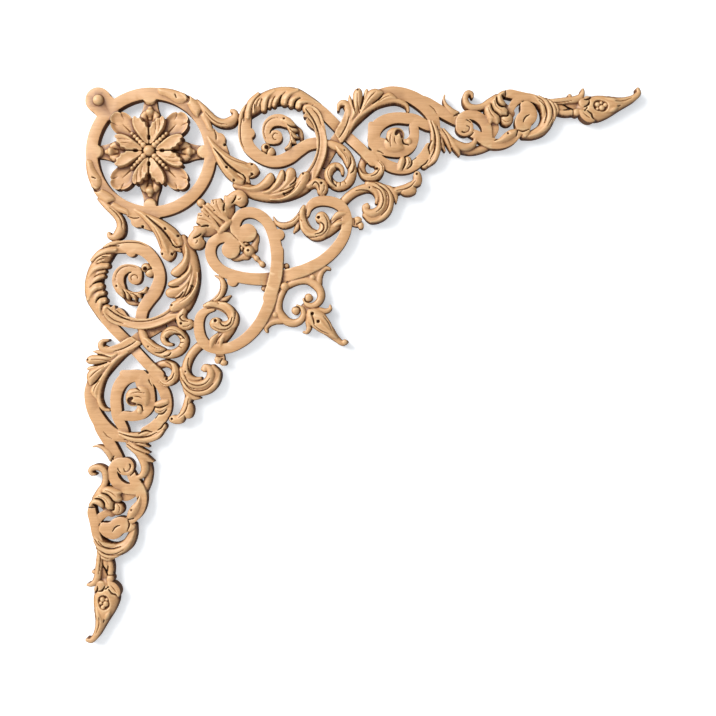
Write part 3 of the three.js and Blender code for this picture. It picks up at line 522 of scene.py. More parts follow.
# %% Second scroll with its bud
scroll_two = [
    band(
        *((432, 128, 3), (428, 126, 4.2), (416, 119.8, 5.3), (406, 118, 5.5), (396, 117.6, 5.4)),
        *((386, 120, 5.9), (378, 125.5, 6.4), (374.2, 133, 6.3), (374.4, 140, 6.3)),
        *((381, 145.5, 8), (392, 147.8, 8.8), (403, 147.6, 8.6), (411, 143, 6.6)),
        *((414.4, 135, 4.8), (413.8, 126, 4.6)),
    ),
    band((371.6, 125, 3.6), (371.8, 134, 3.8), (371.8, 144, 3.8)),
    band((371.8, 144, 3.8), (376, 148, 4)),
    leaf(
        *((394, 149, BOARD), (395, 128, 12.6), -2, (384, 143), (386, 137), (387.2, 132)),
        *((391, 128.6), (396, 127.6), (400.6, 128.6), (403.6, 131.8), (404.4, 136), (402.8, 140)),
        *((402.4, 144), (404.4, 148), (400, 151.4), (392, 152), (386, 149)),
    ),
    ("drill", [(396.2, 134, 1.7, 5), (398, 131.6, 2.3, 5), (401, 132.6, 2, 4.4), (402, 137, 1.4, 4)]),
    groove(0.8, 2.6, (383, 135), (385.6, 138), (388.6, 142)),
    groove(0.5, 1.2, (391, 147), (390, 140), (391.4, 133.6)),
    groove(0.5, 1.2, (396.6, 144.6), (394.6, 141), (394.6, 137.4)),
    groove(0.8, 2.6, (402.4, 139.4), (403.8, 143.2), (409, 145)),
    knob(409, 141.4, 2.8, 13.6),
    groove(0.7, 2, (365.4, 145), (369.4, 149), (373.4, 152.6)),
    groove(0.6, 1.8, (373.6, 152.6), (378.4, 151), (383.6, 153.6)),
    band(
        *((374, 153, 3.6, 11.8), (380, 159.4, 4.4), (390, 166, 5.2), (400, 168.4, 5.3)),
        *((409, 167.4, 5.3), (417, 162.8, 5.2), (424, 155.6, 4.8), (429, 147, 4.4)),
    ),
    pillow(
        *(12.4, 1.8, (400.6, 157.4), (403.6, 156.6), (405.2, 160), (404.4, 165), (401.6, 170.6)),
        *((397.8, 170.4), (397.4, 165), (398.6, 160.6)),
    ),
    pillow(
        *(12, 2, (405.4, 157.4), (409.8, 157), (412, 161), (410.8, 165.8), (407, 168.6)),
        *((404, 169.4), (405.6, 164)),
    ),
    groove(0.7, 2.4, (405.2, 157), (405.2, 163), (402.4, 170)),
    groove(0.7, 2.2, (411.8, 158), (411.6, 164.6), (407.4, 169)),
    groove(0.5, 1.4, (408.6, 158.4), (409.4, 163), (407, 167)),
    groove(0.8, 2.6, (412, 160.4), (416.4, 157.6)),
    stem(
        *((434, 120, 3.4, 12.2), (436.6, 132, 4.6, 12.8), (436.4, 145, 5.2, 12.8)),
        *((432, 157, 5, 12.6), (424.6, 165, 3.6, 12.2)),
    ),
    finger(2.6, 14.4, (430, 121), (433, 132), (432.6, 143), (429.4, 153)),
    finger(3.2, 14.8, (432.4, 122), (437, 135), (438, 148), (435, 159), (429, 165)),
    groove(0.7, 1.8, (432.4, 126), (435.4, 138), (434.4, 150), (430.4, 159)),
    groove(0.8, 2.4, (431.8, 141), (428.8, 147), (430, 154)),
    groove(0.8, 2.2, (421, 166.4), (425.6, 163.4), (428.4, 159.6)),
    groove(0.6, 1.4, (437.4, 126), (440.4, 138), (440, 150)),
    finger(2.8, 13.4, (439, 130), (441, 142), (445, 150.4)),
    finger(3, 13.6, (441, 129), (447, 139.6), (451, 150.6)),
    finger(3.4, 13.8, (443.6, 129.6), (451, 140), (457, 149), (459.6, 154.6)),
    stem(
        *((438, 131, 3, 12.6), (449, 139, 4, 13.2), (458, 144.6, 4.2, 13.4), (467, 146.8, 4, 13.2)),
        *((473.4, 143.8, 3.2, 12.8), (476.2, 138, 1.8, 12.2)),
    ),
    stem((462, 149.6, 3, 9.4), (470, 150, 4, 9.6), (480, 148.6, 4, 9.8), (493, 144, 3.4, 10)),
]
print("second scroll:", len(scroll_two), "strokes")

# %% [markdown]
# ## Outer arm
#
# The arm narrows through a tight spiral, a curled hook and a whorl of leaves to a loop, and
# ends in a seed pod with berries in its eye and a drawn-out tip. Forms this small could be
# left to a bump in the material, but the light would pass over them at the side, so they
# are laid as strokes like the rest.

# %% Outer spiral, hook and whorl
outer_scroll = [
    disc(464.6, 127, 8.9),
    groove(
        *(0.7, 2, (471, 122.4), (466, 119.6), (461, 122.6), (460, 128), (463.4, 132.2)),
        *((468.6, 130.8), (469.6, 127), (466.4, 125.6)),
    ),
    band(
        *((460, 128, 3.6), (460, 121.6, 4), (463, 116.4, 4.3), (469, 114.4, 4.5), (477, 116, 4.9)),
        *((483, 120.5, 5.1), (486.5, 127, 5), (487.4, 136, 5)),
    ),
    band(
        *((469, 131, 3.8, 11), (477, 135, 4.6), (484.6, 139.6, 5.4), (492, 143, 5.3)),
        *((501, 143.4, 5), (510, 140, 5), (516.4, 134.6, 4.4), (520.6, 127.6, 4)),
    ),
    pillow(
        *(12.2, 2, (494, 142), (499, 138.6), (504, 133.6), (510, 129.8), (516, 129.4)),
        *((517.4, 133), (513, 138), (507, 141.4), (500, 143)),
    ),
    groove(0.9, 2.4, (517.6, 130.6), (516.4, 136)),
    groove(0.8, 2.2, (495, 140.4), (500, 137.4)),
    eye(508, 133.6, 1.3, 2),
    band((492, 119, 5, 10.4), (494.6, 128, 4.6, 10.6), (491, 136, 4, 11)),
    stem(
        *((472.6, 96.6, 1.3, 12.2), (471.6, 93.4, 2.2, 12.8), (468, 92.6, 2.6, 13.2)),
        *((465.6, 96, 3, 13.4), (465.8, 101.8, 3.3, 13.6), (469.4, 106.2, 3.4, 13.6)),
        *((476, 107.4, 3.2, 13.4), (483, 106, 3.4, 13), (490, 102.4, 4.6, 12.8)),
        (497, 98, 4.6, 12.8),
    ),
    band((497, 105, 6, 10), (505, 108, 5, 9.6), (511, 113, 4.4, 9.6)),
    pillow(
        *(12.4, 2.8, (484.4, 109), (488, 104), (491, 104.4), (492.8, 109.4), (495.6, 112.4)),
        *((499.4, 115.8), (500.4, 120), (497.6, 124), (493, 122.4), (490, 123.6), (486.6, 118)),
    ),
    pillow(
        *(12.8, 3, (490.6, 104), (492.4, 99), (496.2, 96.4), (497.2, 102.6), (500.6, 106.2)),
        *((505, 107.6), (508, 111), (507.4, 115.6), (502.6, 115.8), (499, 115.4), (495.6, 112)),
    ),
    pillow(
        *(13, 2.6, (496.6, 103), (496, 97.4), (499, 93), (504.4, 90.8), (505.4, 93), (502.8, 96.4)),
        *((504, 100.6), (505.6, 104), (503.4, 106.4), (499.6, 105.8)),
    ),
    knob(507, 119, 6.8, 13.4),
    groove(0.8, 2.6, (491, 104), (492.6, 109.2), (495.4, 112.4), (499.6, 116), (500.4, 121)),
    groove(0.9, 3, (496.4, 97), (497.4, 103), (501, 106.4), (505, 106.6)),
    groove(1.1, 3.4, (502, 95.6), (504.6, 99.8), (511, 98.6)),
    groove(0.9, 3, (501.6, 115.8), (507.6, 115.6), (507.8, 111)),
    groove(0.6, 1.2, (488, 108), (490.6, 114), (494.6, 119)),
    groove(0.6, 1.2, (494, 101), (496.6, 107.4), (502, 111.6)),
    groove(0.5, 1.2, (502, 119), (506, 122), (511, 120.6)),
    band(
        *((507, 93.4, 3.8), (511, 93.6, 4.4), (517, 95, 4.4), (525, 96.6, 4.2), (533, 98, 4)),
        (540, 101, 3.6),
    ),
    band((521, 97.6, 3.6), (514.6, 102.6, 3.8, 11.4), (511, 109, 3.4, 10)),
    groove(0.8, 2.6, (505.6, 89.6), (505.6, 97)),
    groove(0.7, 2.2, (454, 116), (458, 113.6), (464.4, 110.6)),
    groove(0.6, 1.8, (473.6, 132.4), (470.4, 135.4), (465, 136.4)),
]
print("outer spiral:", len(outer_scroll), "strokes")

# %% Loop
outer_loop = [
    stem(
        *((531, 97.6, 3.4, 12), (540, 101.2, 5, 12.4), (547, 109, 6.6, 12.8)),
        *((548, 119, 6.6, 12.8), (543, 128.4, 6, 12.6), (533.6, 133.6, 4.6, 12.2)),
        (524, 135.2, 3, 11.8),
    ),
    finger(2.8, 14, (535, 96.4), (541.4, 102.4), (543.6, 109.6), (543.4, 116.6)),
    finger(
        *(3.6, 14.6, (539, 97), (546.4, 102.6), (550, 111), (549.4, 120), (545.4, 127.6)),
        *((538, 133), (529, 136)),
    ),
    finger(2.4, 13.8, (546, 98.6), (552.4, 104.6), (554.6, 112), (553.6, 119), (550.6, 124.6)),
    groove(0.6, 1.8, (539, 100.6), (545, 106.6), (546.6, 114.6), (544.4, 123)),
    groove(0.6, 1.6, (548, 102), (552, 109), (551.6, 118), (547.6, 126)),
    pillow(
        *(12.6, 0.6, (521, 103.2), (527, 101), (532, 103.6), (535.8, 109), (537.4, 115)),
        *((535.6, 121), (531.6, 125), (530.4, 129), (528.6, 134), (525, 137), (522, 133.6)),
        *((518.6, 130.6), (515.8, 127), (515, 121), (517, 115.4), (520.4, 111)),
    ),
    groove(0.7, 1.8, (529.4, 114.8), (526, 116.8), (524, 119.6), (523.2, 122.6)),
    groove(0.8, 2, (518, 130), (523, 131.4), (529, 129.4)),
]
print("loop:", len(outer_loop), "strokes")

# %% Stem of the pod
pod_stem = [
    stem(
        *((545, 101, 3, 12), (552, 101.4, 3.1, 12.6), (560, 100.8, 3.2, 12.8)),
        *((568, 99.8, 3.2, 13), (575.6, 99, 3.6, 13), (580.4, 96.6, 3.2, 13.2)),
        *((582.8, 92.4, 2.2, 13), (583, 89.4, 1.3, 12)),
    ),
    knob(570, 95.6, 2.2, 11.8),
    stem(
        *((551, 104, 3, 10.8), (558, 106.6, 3.4, 11.4), (563, 108, 3.2, 11.4)),
        (567.6, 109.6, 1.4, 11),
    ),
    stem(
        *((552, 106, 2.4, 10.6), (559, 110.4, 3.2, 11.2), (566, 112.4, 3, 11.6)),
        (573, 112, 3, 11.8),
    ),
    finger(2, 13.4, (550, 100), (555, 104.6), (557.4, 110), (557, 115.4)),
    knob(577, 112, 4, 13.2),
    groove(0.7, 2, (573.4, 109), (573.2, 115.6)),
    groove(0.8, 2.2, (564, 109.8), (572, 108.6), (577.6, 107.4), (580.6, 108.6)),
    band((568, 103, 2.4, 9.6), (576, 105, 4, 9.6), (584, 107.4, 6, 10)),
    groove(0.6, 1.4, (554, 102.6), (563, 102), (572, 100.6)),
]
print("pod stem:", len(pod_stem), "strokes")

# %% Pod
pod = [
    stem(
        *((583, 107.6, 7, 12), (588, 108, 10.6, 12.8), (596, 107.8, 12.8, 13.2)),
        *((604, 106.4, 11.8, 13.6), (612, 104.6, 9.4, 13.4), (620, 102.6, 6.5, 12.8)),
        *((628, 100.2, 4.3, 12.2), (634.6, 97, 3.3, 11.8), (639.2, 92.4, 2.7, 11.4)),
        (638.6, 88.6, 1.9, 11),
    ),
    pillow(
        *(11.8, 0.8, (583, 98.6), (585.6, 96.2), (590.4, 96), (592.6, 95), (590.4, 97.6)),
        (587, 100),
    ),
    pillow(
        *(12.6, 0.8, (579, 102), (582, 98.4), (586.6, 99.4), (589.6, 100.4), (588.8, 104.2)),
        *((584.6, 107), (580.6, 106)),
    ),
    pillow(
        *(12.8, 0.9, (579, 110), (583, 109.8), (588, 111), (591.8, 114.4), (592.8, 117.4)),
        *((595.4, 120), (591, 122.4), (586, 121.4), (581, 117)),
    ),
    finger(2.6, 14.2, (608, 111.8), (614, 109), (619.4, 105.6)),
    finger(2.4, 14.2, (606, 98.6), (613, 100.4), (619, 102.6), (624.6, 103.4)),
    groove(0.9, 2.8, (589.6, 100), (588.6, 104.2), (584.2, 107)),
    groove(0.9, 2.8, (587.4, 110.8), (591.8, 114.4), (592.6, 117.4), (595.8, 120)),
    groove(0.8, 2.6, (584.6, 110.8), (587.4, 107.4)),
    groove(0.8, 2.4, (592.6, 94.6), (590.8, 97), (587, 99.6), (584, 99.6)),
    eye(586.8, 108, 0.9, 2.4),
    eye(585, 110.4, 0.9, 2.4),
    groove(0.9, 2.8, (617.6, 106.2), (620.4, 105.6)),
    groove(0.6, 1.2, (583, 113), (587, 116.4), (590, 118.6)),
    groove(0.6, 1.2, (615, 101.4), (624, 100.6), (632, 97.6)),
    ("drill", [(598.8, 105.4, 6, 4.6), (602.6, 106.4, 5.8, 4.6)]),
]
print("pod:", len(pod), "strokes")

# %% Berries in the pod
pod_berries = [
    knob(597.4, 104.4, 2.4, 13.6),
    knob(601.8, 107.8, 2.8, 13.8),
    knob(605.2, 105, 2.1, 13.4),
    knob(601.2, 102.8, 1.6, 12.8),
    knob(597.6, 108.6, 1.4, 12.6),
]
print("berries:", len(pod_berries), "strokes")

# %% [markdown]
# ## Heart and what grows from it
#
# Two flat bands cross on the diagonal. Each starts in a volute, dips under or runs over the
# other, and turns back round a leafy scroll. A fine bracket and a drop hang below. Mirrored
# bands would meet level at the crossing. So the mirrored ones lie low there, and the one
# that passes over is laid among the middle pieces.

# %% Bands of the heart
heart = [
    disc(230.6, 249.4, 9),
    groove(0.5, 1, (232.4, 246), (232.9, 248.8)),
    band(
        *((235, 244, 5), (228, 237.6, 5), (219.4, 238, 5), (212.8, 242.6, 5.2)),
        *((210.2, 250.4, 5.3), (211.6, 258.4, 5.3), (216, 265.4, 5.4), (222, 270.4, 5.5)),
        *((230, 274.2, 5.6), (240, 277, 5.7), (250, 278.5, 5.8), (260, 279, 6, 11.6)),
        *((268, 278.6, 6.2, 9.6), (276, 277.4, 6.2, 8.6), (285, 275.4, 6.1, 9.8)),
        *((293, 273.4, 6, 11.6), (303, 270.4, 5.9), (312, 266.4, 5.8), (321, 261.5, 5.7)),
        *((332, 252.5, 5.6), (340.5, 242, 5.4), (345.7, 231, 5.2), (347, 220, 5.1)),
        *((344, 209.6, 5.1), (337, 203.4, 5.2), (328, 200.8, 5), (320, 200.7, 4.8)),
        *((313, 203, 4.5), (308.5, 208, 3.6), (306.4, 214, 3)),
    ),
    disc(232.4, 281, 5.4),
    knob(286, 265.6, 3, 9),
]
print("heart:", len(heart), "strokes")

# %% Leafy scroll beside the heart
heart_leaf = [
    stem(
        *((303.8, 206.4, 1.8, 12.4), (302.6, 210, 3, 13), (302.6, 216, 4.2, 13.6)),
        *((304.4, 224, 5, 13.8), (309, 231.4, 5.4, 13.8), (317, 235, 5.2, 13.8)),
        *((325, 233, 5, 13.4), (331.6, 227.6, 6, 12.8), (337.6, 221, 7, 12), (342, 215, 6, 11.8)),
    ),
    finger(2.8, 14.8, (303.6, 207), (302, 212), (302.6, 218.4), (306.4, 224.4)),
    finger(3, 14.8, (301, 221), (303.6, 229), (310, 234.4), (317, 234), (320.6, 229), (320, 223.6)),
    pillow(
        *(12.6, 2.6, (315.4, 219.4), (316.8, 213.8), (321.6, 211.4), (326.4, 213.6)),
        *((329.6, 219.4), (330.4, 226), (328.4, 233), (322, 238), (314, 239), (307.6, 236)),
        *((310, 232.4), (316, 231.6), (319.2, 228), (319.6, 223.6), (317.2, 222.4)),
    ),
    groove(0.8, 2.4, (320.6, 222.4), (323.4, 224.8), (324, 228.6), (321.4, 232.4), (315.4, 234.4)),
    groove(0.6, 1.6, (324.4, 215.4), (327.4, 221.4), (327.4, 229), (322.6, 235), (315, 237.4)),
    groove(0.8, 2.2, (331, 220), (333.4, 216.6), (337.4, 214.6)),
    finger(2.8, 14.2, (328, 229), (323, 236.4), (314, 238), (306, 234.6)),
    finger(3, 14, (346, 212.6), (338, 214.6), (331.6, 220)),
    finger(2.2, 13.8, (345, 222), (337.6, 223.6), (330.6, 229.6)),
    groove(0.6, 1.6, (306.4, 209), (306, 217), (308.6, 224.6), (313.4, 229.6)),
    groove(0.6, 1.4, (331.6, 224.6), (336.6, 220), (342, 217.6)),
    eye(318.6, 217.6, 1.7, 4.4),
    finger(
        *(3.2, 13.2, (301.6, 210), (297, 218), (290.6, 223.4), (282.6, 225.2), (276.4, 222.4)),
        (273.6, 217),
    ),
    finger(3, 11.6, (300, 218), (297.6, 226), (293.6, 232)),
    groove(0.5, 1.2, (298.6, 214.6), (294, 220), (287.6, 222.6), (281, 222.6)),
]
print("heart leaf:", len(heart_leaf), "strokes")

# %% Leafy scroll outside the heart
outer_leaf_scroll = [
    stem(
        *((342, 203, 4.6, 11.4), (348, 196.6, 4.4, 12.6), (354.6, 191.8, 4.4, 13.2)),
        *((361.6, 188.8, 4.4, 13.6), (368.4, 187.8, 4.2, 13.8), (374.4, 190.4, 3.6, 13.8)),
        *((377.4, 196, 2.8, 13.4), (376.4, 202.4, 1.5, 12.6)),
    ),
    stem(
        *((367, 183.6, 2.6, 12.6), (376, 185.8, 5, 13), (384, 191.4, 6.4, 13.2)),
        *((387, 199.6, 7, 13.4), (385.6, 208.4, 7, 13.2), (379.6, 215.6, 6, 13)),
        *((371.6, 218.6, 4.6, 12.6), (365.6, 214.6, 3.4, 12.6)),
    ),
    finger(
        *(4.4, 15.2, (368, 183.6), (377.4, 187), (382.4, 194.6), (382.6, 203.4), (379, 210)),
        *((372, 213), (366, 210.6), (364.4, 206.6), (367.4, 204)),
    ),
    finger(
        *(3.6, 14.6, (376, 184), (385.4, 188.8), (390, 197), (390, 206), (386, 214), (379, 219.4)),
        (371, 221.4),
    ),
    finger(3, 13.8, (384, 185.4), (391.4, 189.6), (395.6, 196), (396.2, 202)),
    knob(367, 206.8, 3.2, 14),
    groove(0.6, 1.8, (373, 186.6), (380.4, 191), (383.4, 199), (381.8, 207), (376.4, 212.4)),
    groove(0.6, 1.6, (378.4, 185.6), (386.6, 191.6), (389, 200), (387, 209), (381, 215.6)),
    groove(0.6, 1.8, (356, 190.6), (363.6, 190.2), (369.6, 191.6), (373.4, 196)),
    eye(369.6, 187.6, 1.0, 2),
    stem((384, 187, 3, 11.6), (391, 190, 3.6, 12.2), (398, 190.4, 4, 12.4)),
    pillow(
        *(12.4, 2, (391, 191), (396, 187), (402.4, 185), (408, 182.6), (413, 179.4)),
        *((413.4, 174.6), (415.6, 171.4), (419.4, 171.8), (422, 177.4), (421.4, 184)),
        *((416.8, 187.4), (416.4, 192.4), (410.4, 195.6), (404, 195.2), (399.8, 192.8), (396, 194)),
    ),
    groove(0.6, 1.4, (397, 190.6), (404, 189.6), (410.6, 186.6), (415.4, 181)),
    groove(0.6, 1.8, (420.6, 185.4), (416, 187.2), (413.4, 186.6)),
    groove(0.6, 1.6, (399.8, 193.4), (402.4, 190.8)),
    eye(416.8, 174, 1.4, 3.2),
    eye(410.4, 181.4, 1.0, 2),
    band((348, 221.4, 3.4, 10), (352, 221.4, 4, 11), (357, 222.6, 4, 11)),
    pillow(12, 1.6, (354.6, 217.8), (358, 216.4), (361.6, 218.4), (361.4, 222), (357.4, 223.6)),
    pillow(11.8, 1.6, (358, 223), (361.6, 221.8), (363.8, 224.6), (363, 228), (359.4, 228.6)),
    groove(0.6, 1.6, (354, 217.6), (354.4, 225)),
    groove(0.6, 1.8, (356.6, 224.6), (358.8, 223), (362, 221.6)),
]
print("outer leafy scroll:", len(outer_leaf_scroll), "strokes")

# %% Bracket
bracket = [
    knob(284.4, 286.6, 4.4, 12.6),
    stem(
        *((287, 286, 3.2, 10.8), (293, 282.8, 3.4, 11.2), (300, 280.8, 3.4, 11.4)),
        *((308, 280.4, 4.2, 11.6), (315, 284, 4.8, 12), (319.8, 290, 4.4, 12.4)),
        *((321, 296.4, 4, 12.6), (318.2, 302.4, 3.5, 12.8), (312.4, 305.6, 3, 12.8)),
        *((306.8, 304, 2.3, 12.6), (304, 299.4, 1.7, 12)),
    ),
    knob(308.5, 297.6, 4.2, 13.4),
    groove(0.6, 2, (304.8, 296), (305.4, 301), (309, 302.8)),
    stem(
        *((318.4, 284, 3.8, 11), (319.4, 276.6, 3.2, 11), (322, 271, 2.7, 11)),
        *((326, 267.8, 2.4, 11.2), (329.6, 268.6, 1.5, 10.8)),
    ),
    band((308, 279, 4, 10.4), (315, 276.6, 4, 10.4), (319.6, 272.6, 3.4, 10.4)),
    knob(312.4, 277.2, 2.9, 12),
]
print("bracket:", len(bracket), "strokes")

# %% Palmette
palmette = [
    band((224, 226, 3.6, 10), (215, 216, 6, 10), (208, 208, 4, 10)),
    pillow(
        *(13.2, 1.2, (205.6, 205), (208.2, 202.8), (210.6, 203.6), (211.2, 200.2), (214, 199.4)),
        *((217.6, 198.8), (221.6, 198.4), (223.6, 201.4), (225, 205), (225.2, 211), (226.8, 216)),
        *((229, 220.4), (226, 222), (222, 220), (217, 216), (211, 210.2)),
    ),
    leaf(
        *((225, 210, 14), (234, 211, 9.8), 0.3, (228, 223), (225.4, 214), (224.4, 206), (226, 201)),
        *((233, 202.6), (234.2, 208), (233, 214.6), (230.4, 220)),
    ),
    pillow(
        *(12.4, 1.8, (224.6, 206), (223.6, 200), (224.4, 195.6), (227.4, 195.4), (230, 193.2)),
        *((234, 190.8), (238, 189.8), (242, 190.8), (245.6, 194), (247.4, 198.6), (246.6, 203)),
        *((243.4, 206.2), (239, 206.6), (235.6, 204.2), (232.8, 204.6), (230, 207.6), (226.4, 209)),
    ),
    knob(241.2, 199.4, 6.4, 15.6),
    groove(0.9, 3, (232, 203.4), (234.6, 200), (236.4, 196)),
    groove(0.5, 1.4, (238.2, 199.8), (240.6, 199.4), (242, 197.6)),
    groove(0.7, 2.2, (205.6, 205.8), (213.4, 213.8), (219, 218.2), (224.8, 221.2)),
    groove(0.9, 2.6, (221.4, 198.8), (223.4, 202.6)),
    groove(0.9, 2.8, (224.8, 203.6), (223.8, 208), (224, 211)),
    groove(0.5, 0.8, (222, 214), (218, 207), (216.6, 200)),
    groove(0.5, 0.8, (218, 213.6), (212.4, 207.4), (209.4, 204)),
    groove(0.7, 1.8, (213, 200), (214, 203.8)),
    eye(214.4, 210.8, 0.8, 1.8),
    eye(223.9, 209.8, 1.1, 2.6),
    eye(236.4, 205.8, 1.2, 2.6),
    band((228, 228, 3, 9), (226, 230, 3, 9)),
    pillow(
        *(8.8, 1.4, (255.6, 231), (258.2, 234), (258.8, 239), (257.4, 245), (257, 250), (253, 253)),
        *((248, 251), (249.6, 245.6), (252.6, 241), (254.8, 236)),
    ),
    finger(1.3, 11.8, (243.2, 242.8), (246, 243.6), (249, 243)),
    groove(0.8, 2.6, (239, 241), (240.6, 244.2), (241, 248), (240, 251.6)),
]
print("palmette:", len(palmette), "strokes")

# %% Side of the pendant
pendant_side = [
    stem(
        *((314, 310, 3, 12), (320, 310.4, 3.2, 12.6), (326, 311, 2.7, 12.6), (330, 308.8, 2, 12.2)),
        (330.2, 305.6, 1.2, 11.4),
    ),
    groove(0.8, 2.4, (322.6, 313.6), (327.4, 315.6)),
]
print("pendant side:", len(pendant_side), "strokes")

# %% [markdown]
# ## What lies on the diagonal, and the rosette
#
# These are drawn whole: the boss, the palmette's stem, the crossing, the pendant. The
# rosette repeats four times: a broad hollowed petal on each diagonal, a split leaf on each
# axis over it, rows of beads, and a ball at the centre. It could be one quarter turned by
# an array. Turning the stations instead keeps it in the same sheet as the ring's spokes.

# %% Middle pieces
diagonal = [
    band((BOSS[0], BOSS[1], 11.4), (106, 108, 12.4)),
    disc(98, 100, 12.9),
    knob(98.4, 100.2, 5.2, 17),
    knob(200.8, 202.8, 4.3, 13.4),
    stem((204, 206, 1.4, 13.4), (212, 214, 1.7, 14.2), (218, 220, 2.4, 13.4), (222, 224, 3, 12.4)),
    stem((219.6, 231.4, 2.8, 13.4), (224.6, 226.6, 3.2, 14.4), (229.4, 221.6, 2.8, 13.4)),
    band((225, 227, 4, 9.6), (230, 232, 4, 9.6), (234, 236, 3, 12), (239, 241, 2, 12)),
    band(
        *((277.4, 250, 5.9), (277, 262, 6.1), (275.8, 274, 6.3, 12.2), (273, 286, 6.3)),
        (269, 298, 6.2),
    ),
    groove(0.5, 1.2, (231.4, 233.4), (235, 237), (238.6, 240.6)),
    band((243, 245, 4, 8.6), (248, 250, 6, 8.6)),
    stroke("ridge", (239.6, 241.6, 1, 12.4), (242.4, 244.4, 1.8, 12.8), (245.4, 247.4, 1, 12)),
    knob(248.8, 250.8, 5.4, 13.6),
    eye(248.2, 250.4, 1.5, 3),
    stem((252, 254, 2.4, 11), (262, 264, 2, 11)),
    knob(256.4, 258.2, 2.9, 12),
    knob(262, 264, 3, 12),
    stem(
        *((304, 306, 3, 10.6), (311, 313, 5, 11.4), (320, 322, 6, 12), (330, 332.4, 5, 12.2)),
        *((337, 339.2, 3.4, 11.6), (343, 343.4, 2.6, 11.2), (347, 342, 1.7, 10.8)),
    ),
    pillow(
        *(11.8, 2.8, (307.6, 309.6), (313, 308.2), (318.6, 309), (323.6, 312.4), (327.6, 317.4)),
        *((331, 323), (333.4, 329), (336.4, 334.6), (338, 338.6), (332.6, 338.4), (327, 335.4)),
        *((321, 333), (315.4, 329.6), (310.4, 325.6), (307, 320.6), (306.2, 315)),
    ),
    groove(0.9, 2.8, (311.4, 314), (313.4, 319), (314.4, 324.6)),
    stroke(
        *("ridge", (315, 317, 3, 14.4), (321, 323, 6, 16), (328, 330, 6, 15.2)),
        (335, 337, 3.6, 13),
    ),
    knob(344.8, 342.2, 3, 12.6),
    groove(0.6, 1.4, (323.6, 316.4), (328.6, 323), (332, 331)),
    groove(0.6, 1.4, (314.4, 325.6), (321, 330.6), (329, 334)),
    groove(0.8, 2.4, (311, 326), (313.6, 329.6)),
    eye(312.4, 313.6, 1.8, 4.6),
    eye(318.4, 321.4, 1.8, 4),
]
print("middle pieces:", len(diagonal), "strokes")

# %% Words for the rosette
ROSETTE = (149.7, 151.3)  # centre of the rosette on the sheet
# One side of an axial leaf, out from the centre and to the side, then one side of a petal.
LEAF_LOBE = (
    *((7, -1), (12, -0.5), (17, -0.4), (22, -0.8), (23.6, -2.6), (27.4, -3.8), (28.4, -6.4)),
    *((31.6, -8.2), (31.8, -11.4), (33.8, -13.4), (32.2, -15.4)),
    *((28, -15.8), (22, -14), (17, -10.8), (12.4, -7.4), (8.6, -4.2)),
)
PETAL_SIDE = (
    *((8, 1.8), (14, 3.2), (20, 4.6), (26, 6.6), (31.4, 9.8), (37, 11), (42.6, 10.4)),
    *((46.6, 8), (46.8, 6.6), (49.8, 5), (51.6, 1.4)),
)


def around(turn, a, b, half=None, top=None):
    """A point or a station of the rosette: a out from the centre, b to the side of that."""
    angle = math.radians(turn)
    x = ROSETTE[0] + a * math.cos(angle) - b * math.sin(angle)
    y = ROSETTE[1] + a * math.sin(angle) + b * math.cos(angle)
    return (x, y) if half is None else (x, y, half, top)


def ray(kind, turn, *stations):
    return kind, [around(turn, *station) for station in stations]


def mirrored(outline, side):
    return [(a, b * side) for a, b in outline]


print("points along one side of a petal:", len(PETAL_SIDE))

# %% Petals and axial leaves
rosette = []
for turn in (0, 90, 180, 270):
    petal = mirrored(PETAL_SIDE, 1) + mirrored(PETAL_SIDE, -1)[::-1]
    low = (*around(turn + 45, 8, 0), 13.6)
    high = (*around(turn + 45, 48, 0), 15.8)
    rosette += [
        ray("flat", turn, (14, 0, 8, 8.6), (34, 0, 10.6, 8.6), (45, 0, 7.2, 8.6), (58, 0, 6, 8.6)),
        ray("flat", turn, (53.2, 0, 5.8, BOARD), (53.4, 0, 5.8, BOARD)),
        ray("groove", turn, (49.6, -4.8, 0.6, 1.2), (47.6, 0, 0.8, 1.6), (49.6, 4.8, 0.6, 1.2)),
        leaf(low, high, 2.4, *(around(turn + 45, a, b) for a, b in petal)),
        ray("groove", turn + 45, (24, 0, 0.8, 1.6), (31, 0, 0.8, 1.6), (38, 0, 0.4, 0.8)),
        ray("groove", turn + 45, (47, 7.4, 0.5, 1.4), (44, 5.6, 0.6, 1.2), (40, 4.4, 0.4, 0.6)),
        ray("groove", turn + 45, (47, -7.4, 0.5, 1.4), (44, -5.6, 0.6, 1.2), (40, -4.4, 0.4, 0.6)),
        ray("round", turn, (29, -5, 3.4, 11), (34, -6.6, 4, 12.6), (38, -5, 2.6, 12)),
        ray("round", turn, (29, 5, 3.4, 11), (34, 6.6, 4, 12.6), (38, 5, 2.6, 12)),
        ray("round", turn, (34, 0, 2.4, 10.6), (38, 0, 4, 14.4), (40.6, 0, 4, 14.6), (43, 0, 2.4, 12)),
    ]
    for side in (-1, 1):
        outline = [around(turn, a, b) for a, b in mirrored(LEAF_LOBE, side)]
        low = (*around(turn, 15, 14 * side), 14.2)
        high = (*around(turn, 27, 0), 19.2)
        vein_one = ((16, 6 * side, 0.5, 0.7), (23, 7.4 * side, 0.6, 1.1), (29.6, 7 * side, 0.4, 0.9))
        vein_two = ((18, 10 * side, 0.5, 0.7), (26, 11.4 * side, 0.6, 1), (32.8, 11.4 * side, 0.4, 0.8))
        rosette += [
            leaf(low, high, 0.9, *outline),
            ray("groove", turn, *vein_one),
            ray("groove", turn, *vein_two),
        ]
    rosette += [
        ray("drill", turn, (12.2, 0, 1.7, 4), (14, 0, 1.9, 4)),
        ray("groove", turn, (14, 0, 0.9, 3), (22.4, 0, 1.0, 3)),
    ]
print("rosette:", len(rosette), "strokes")

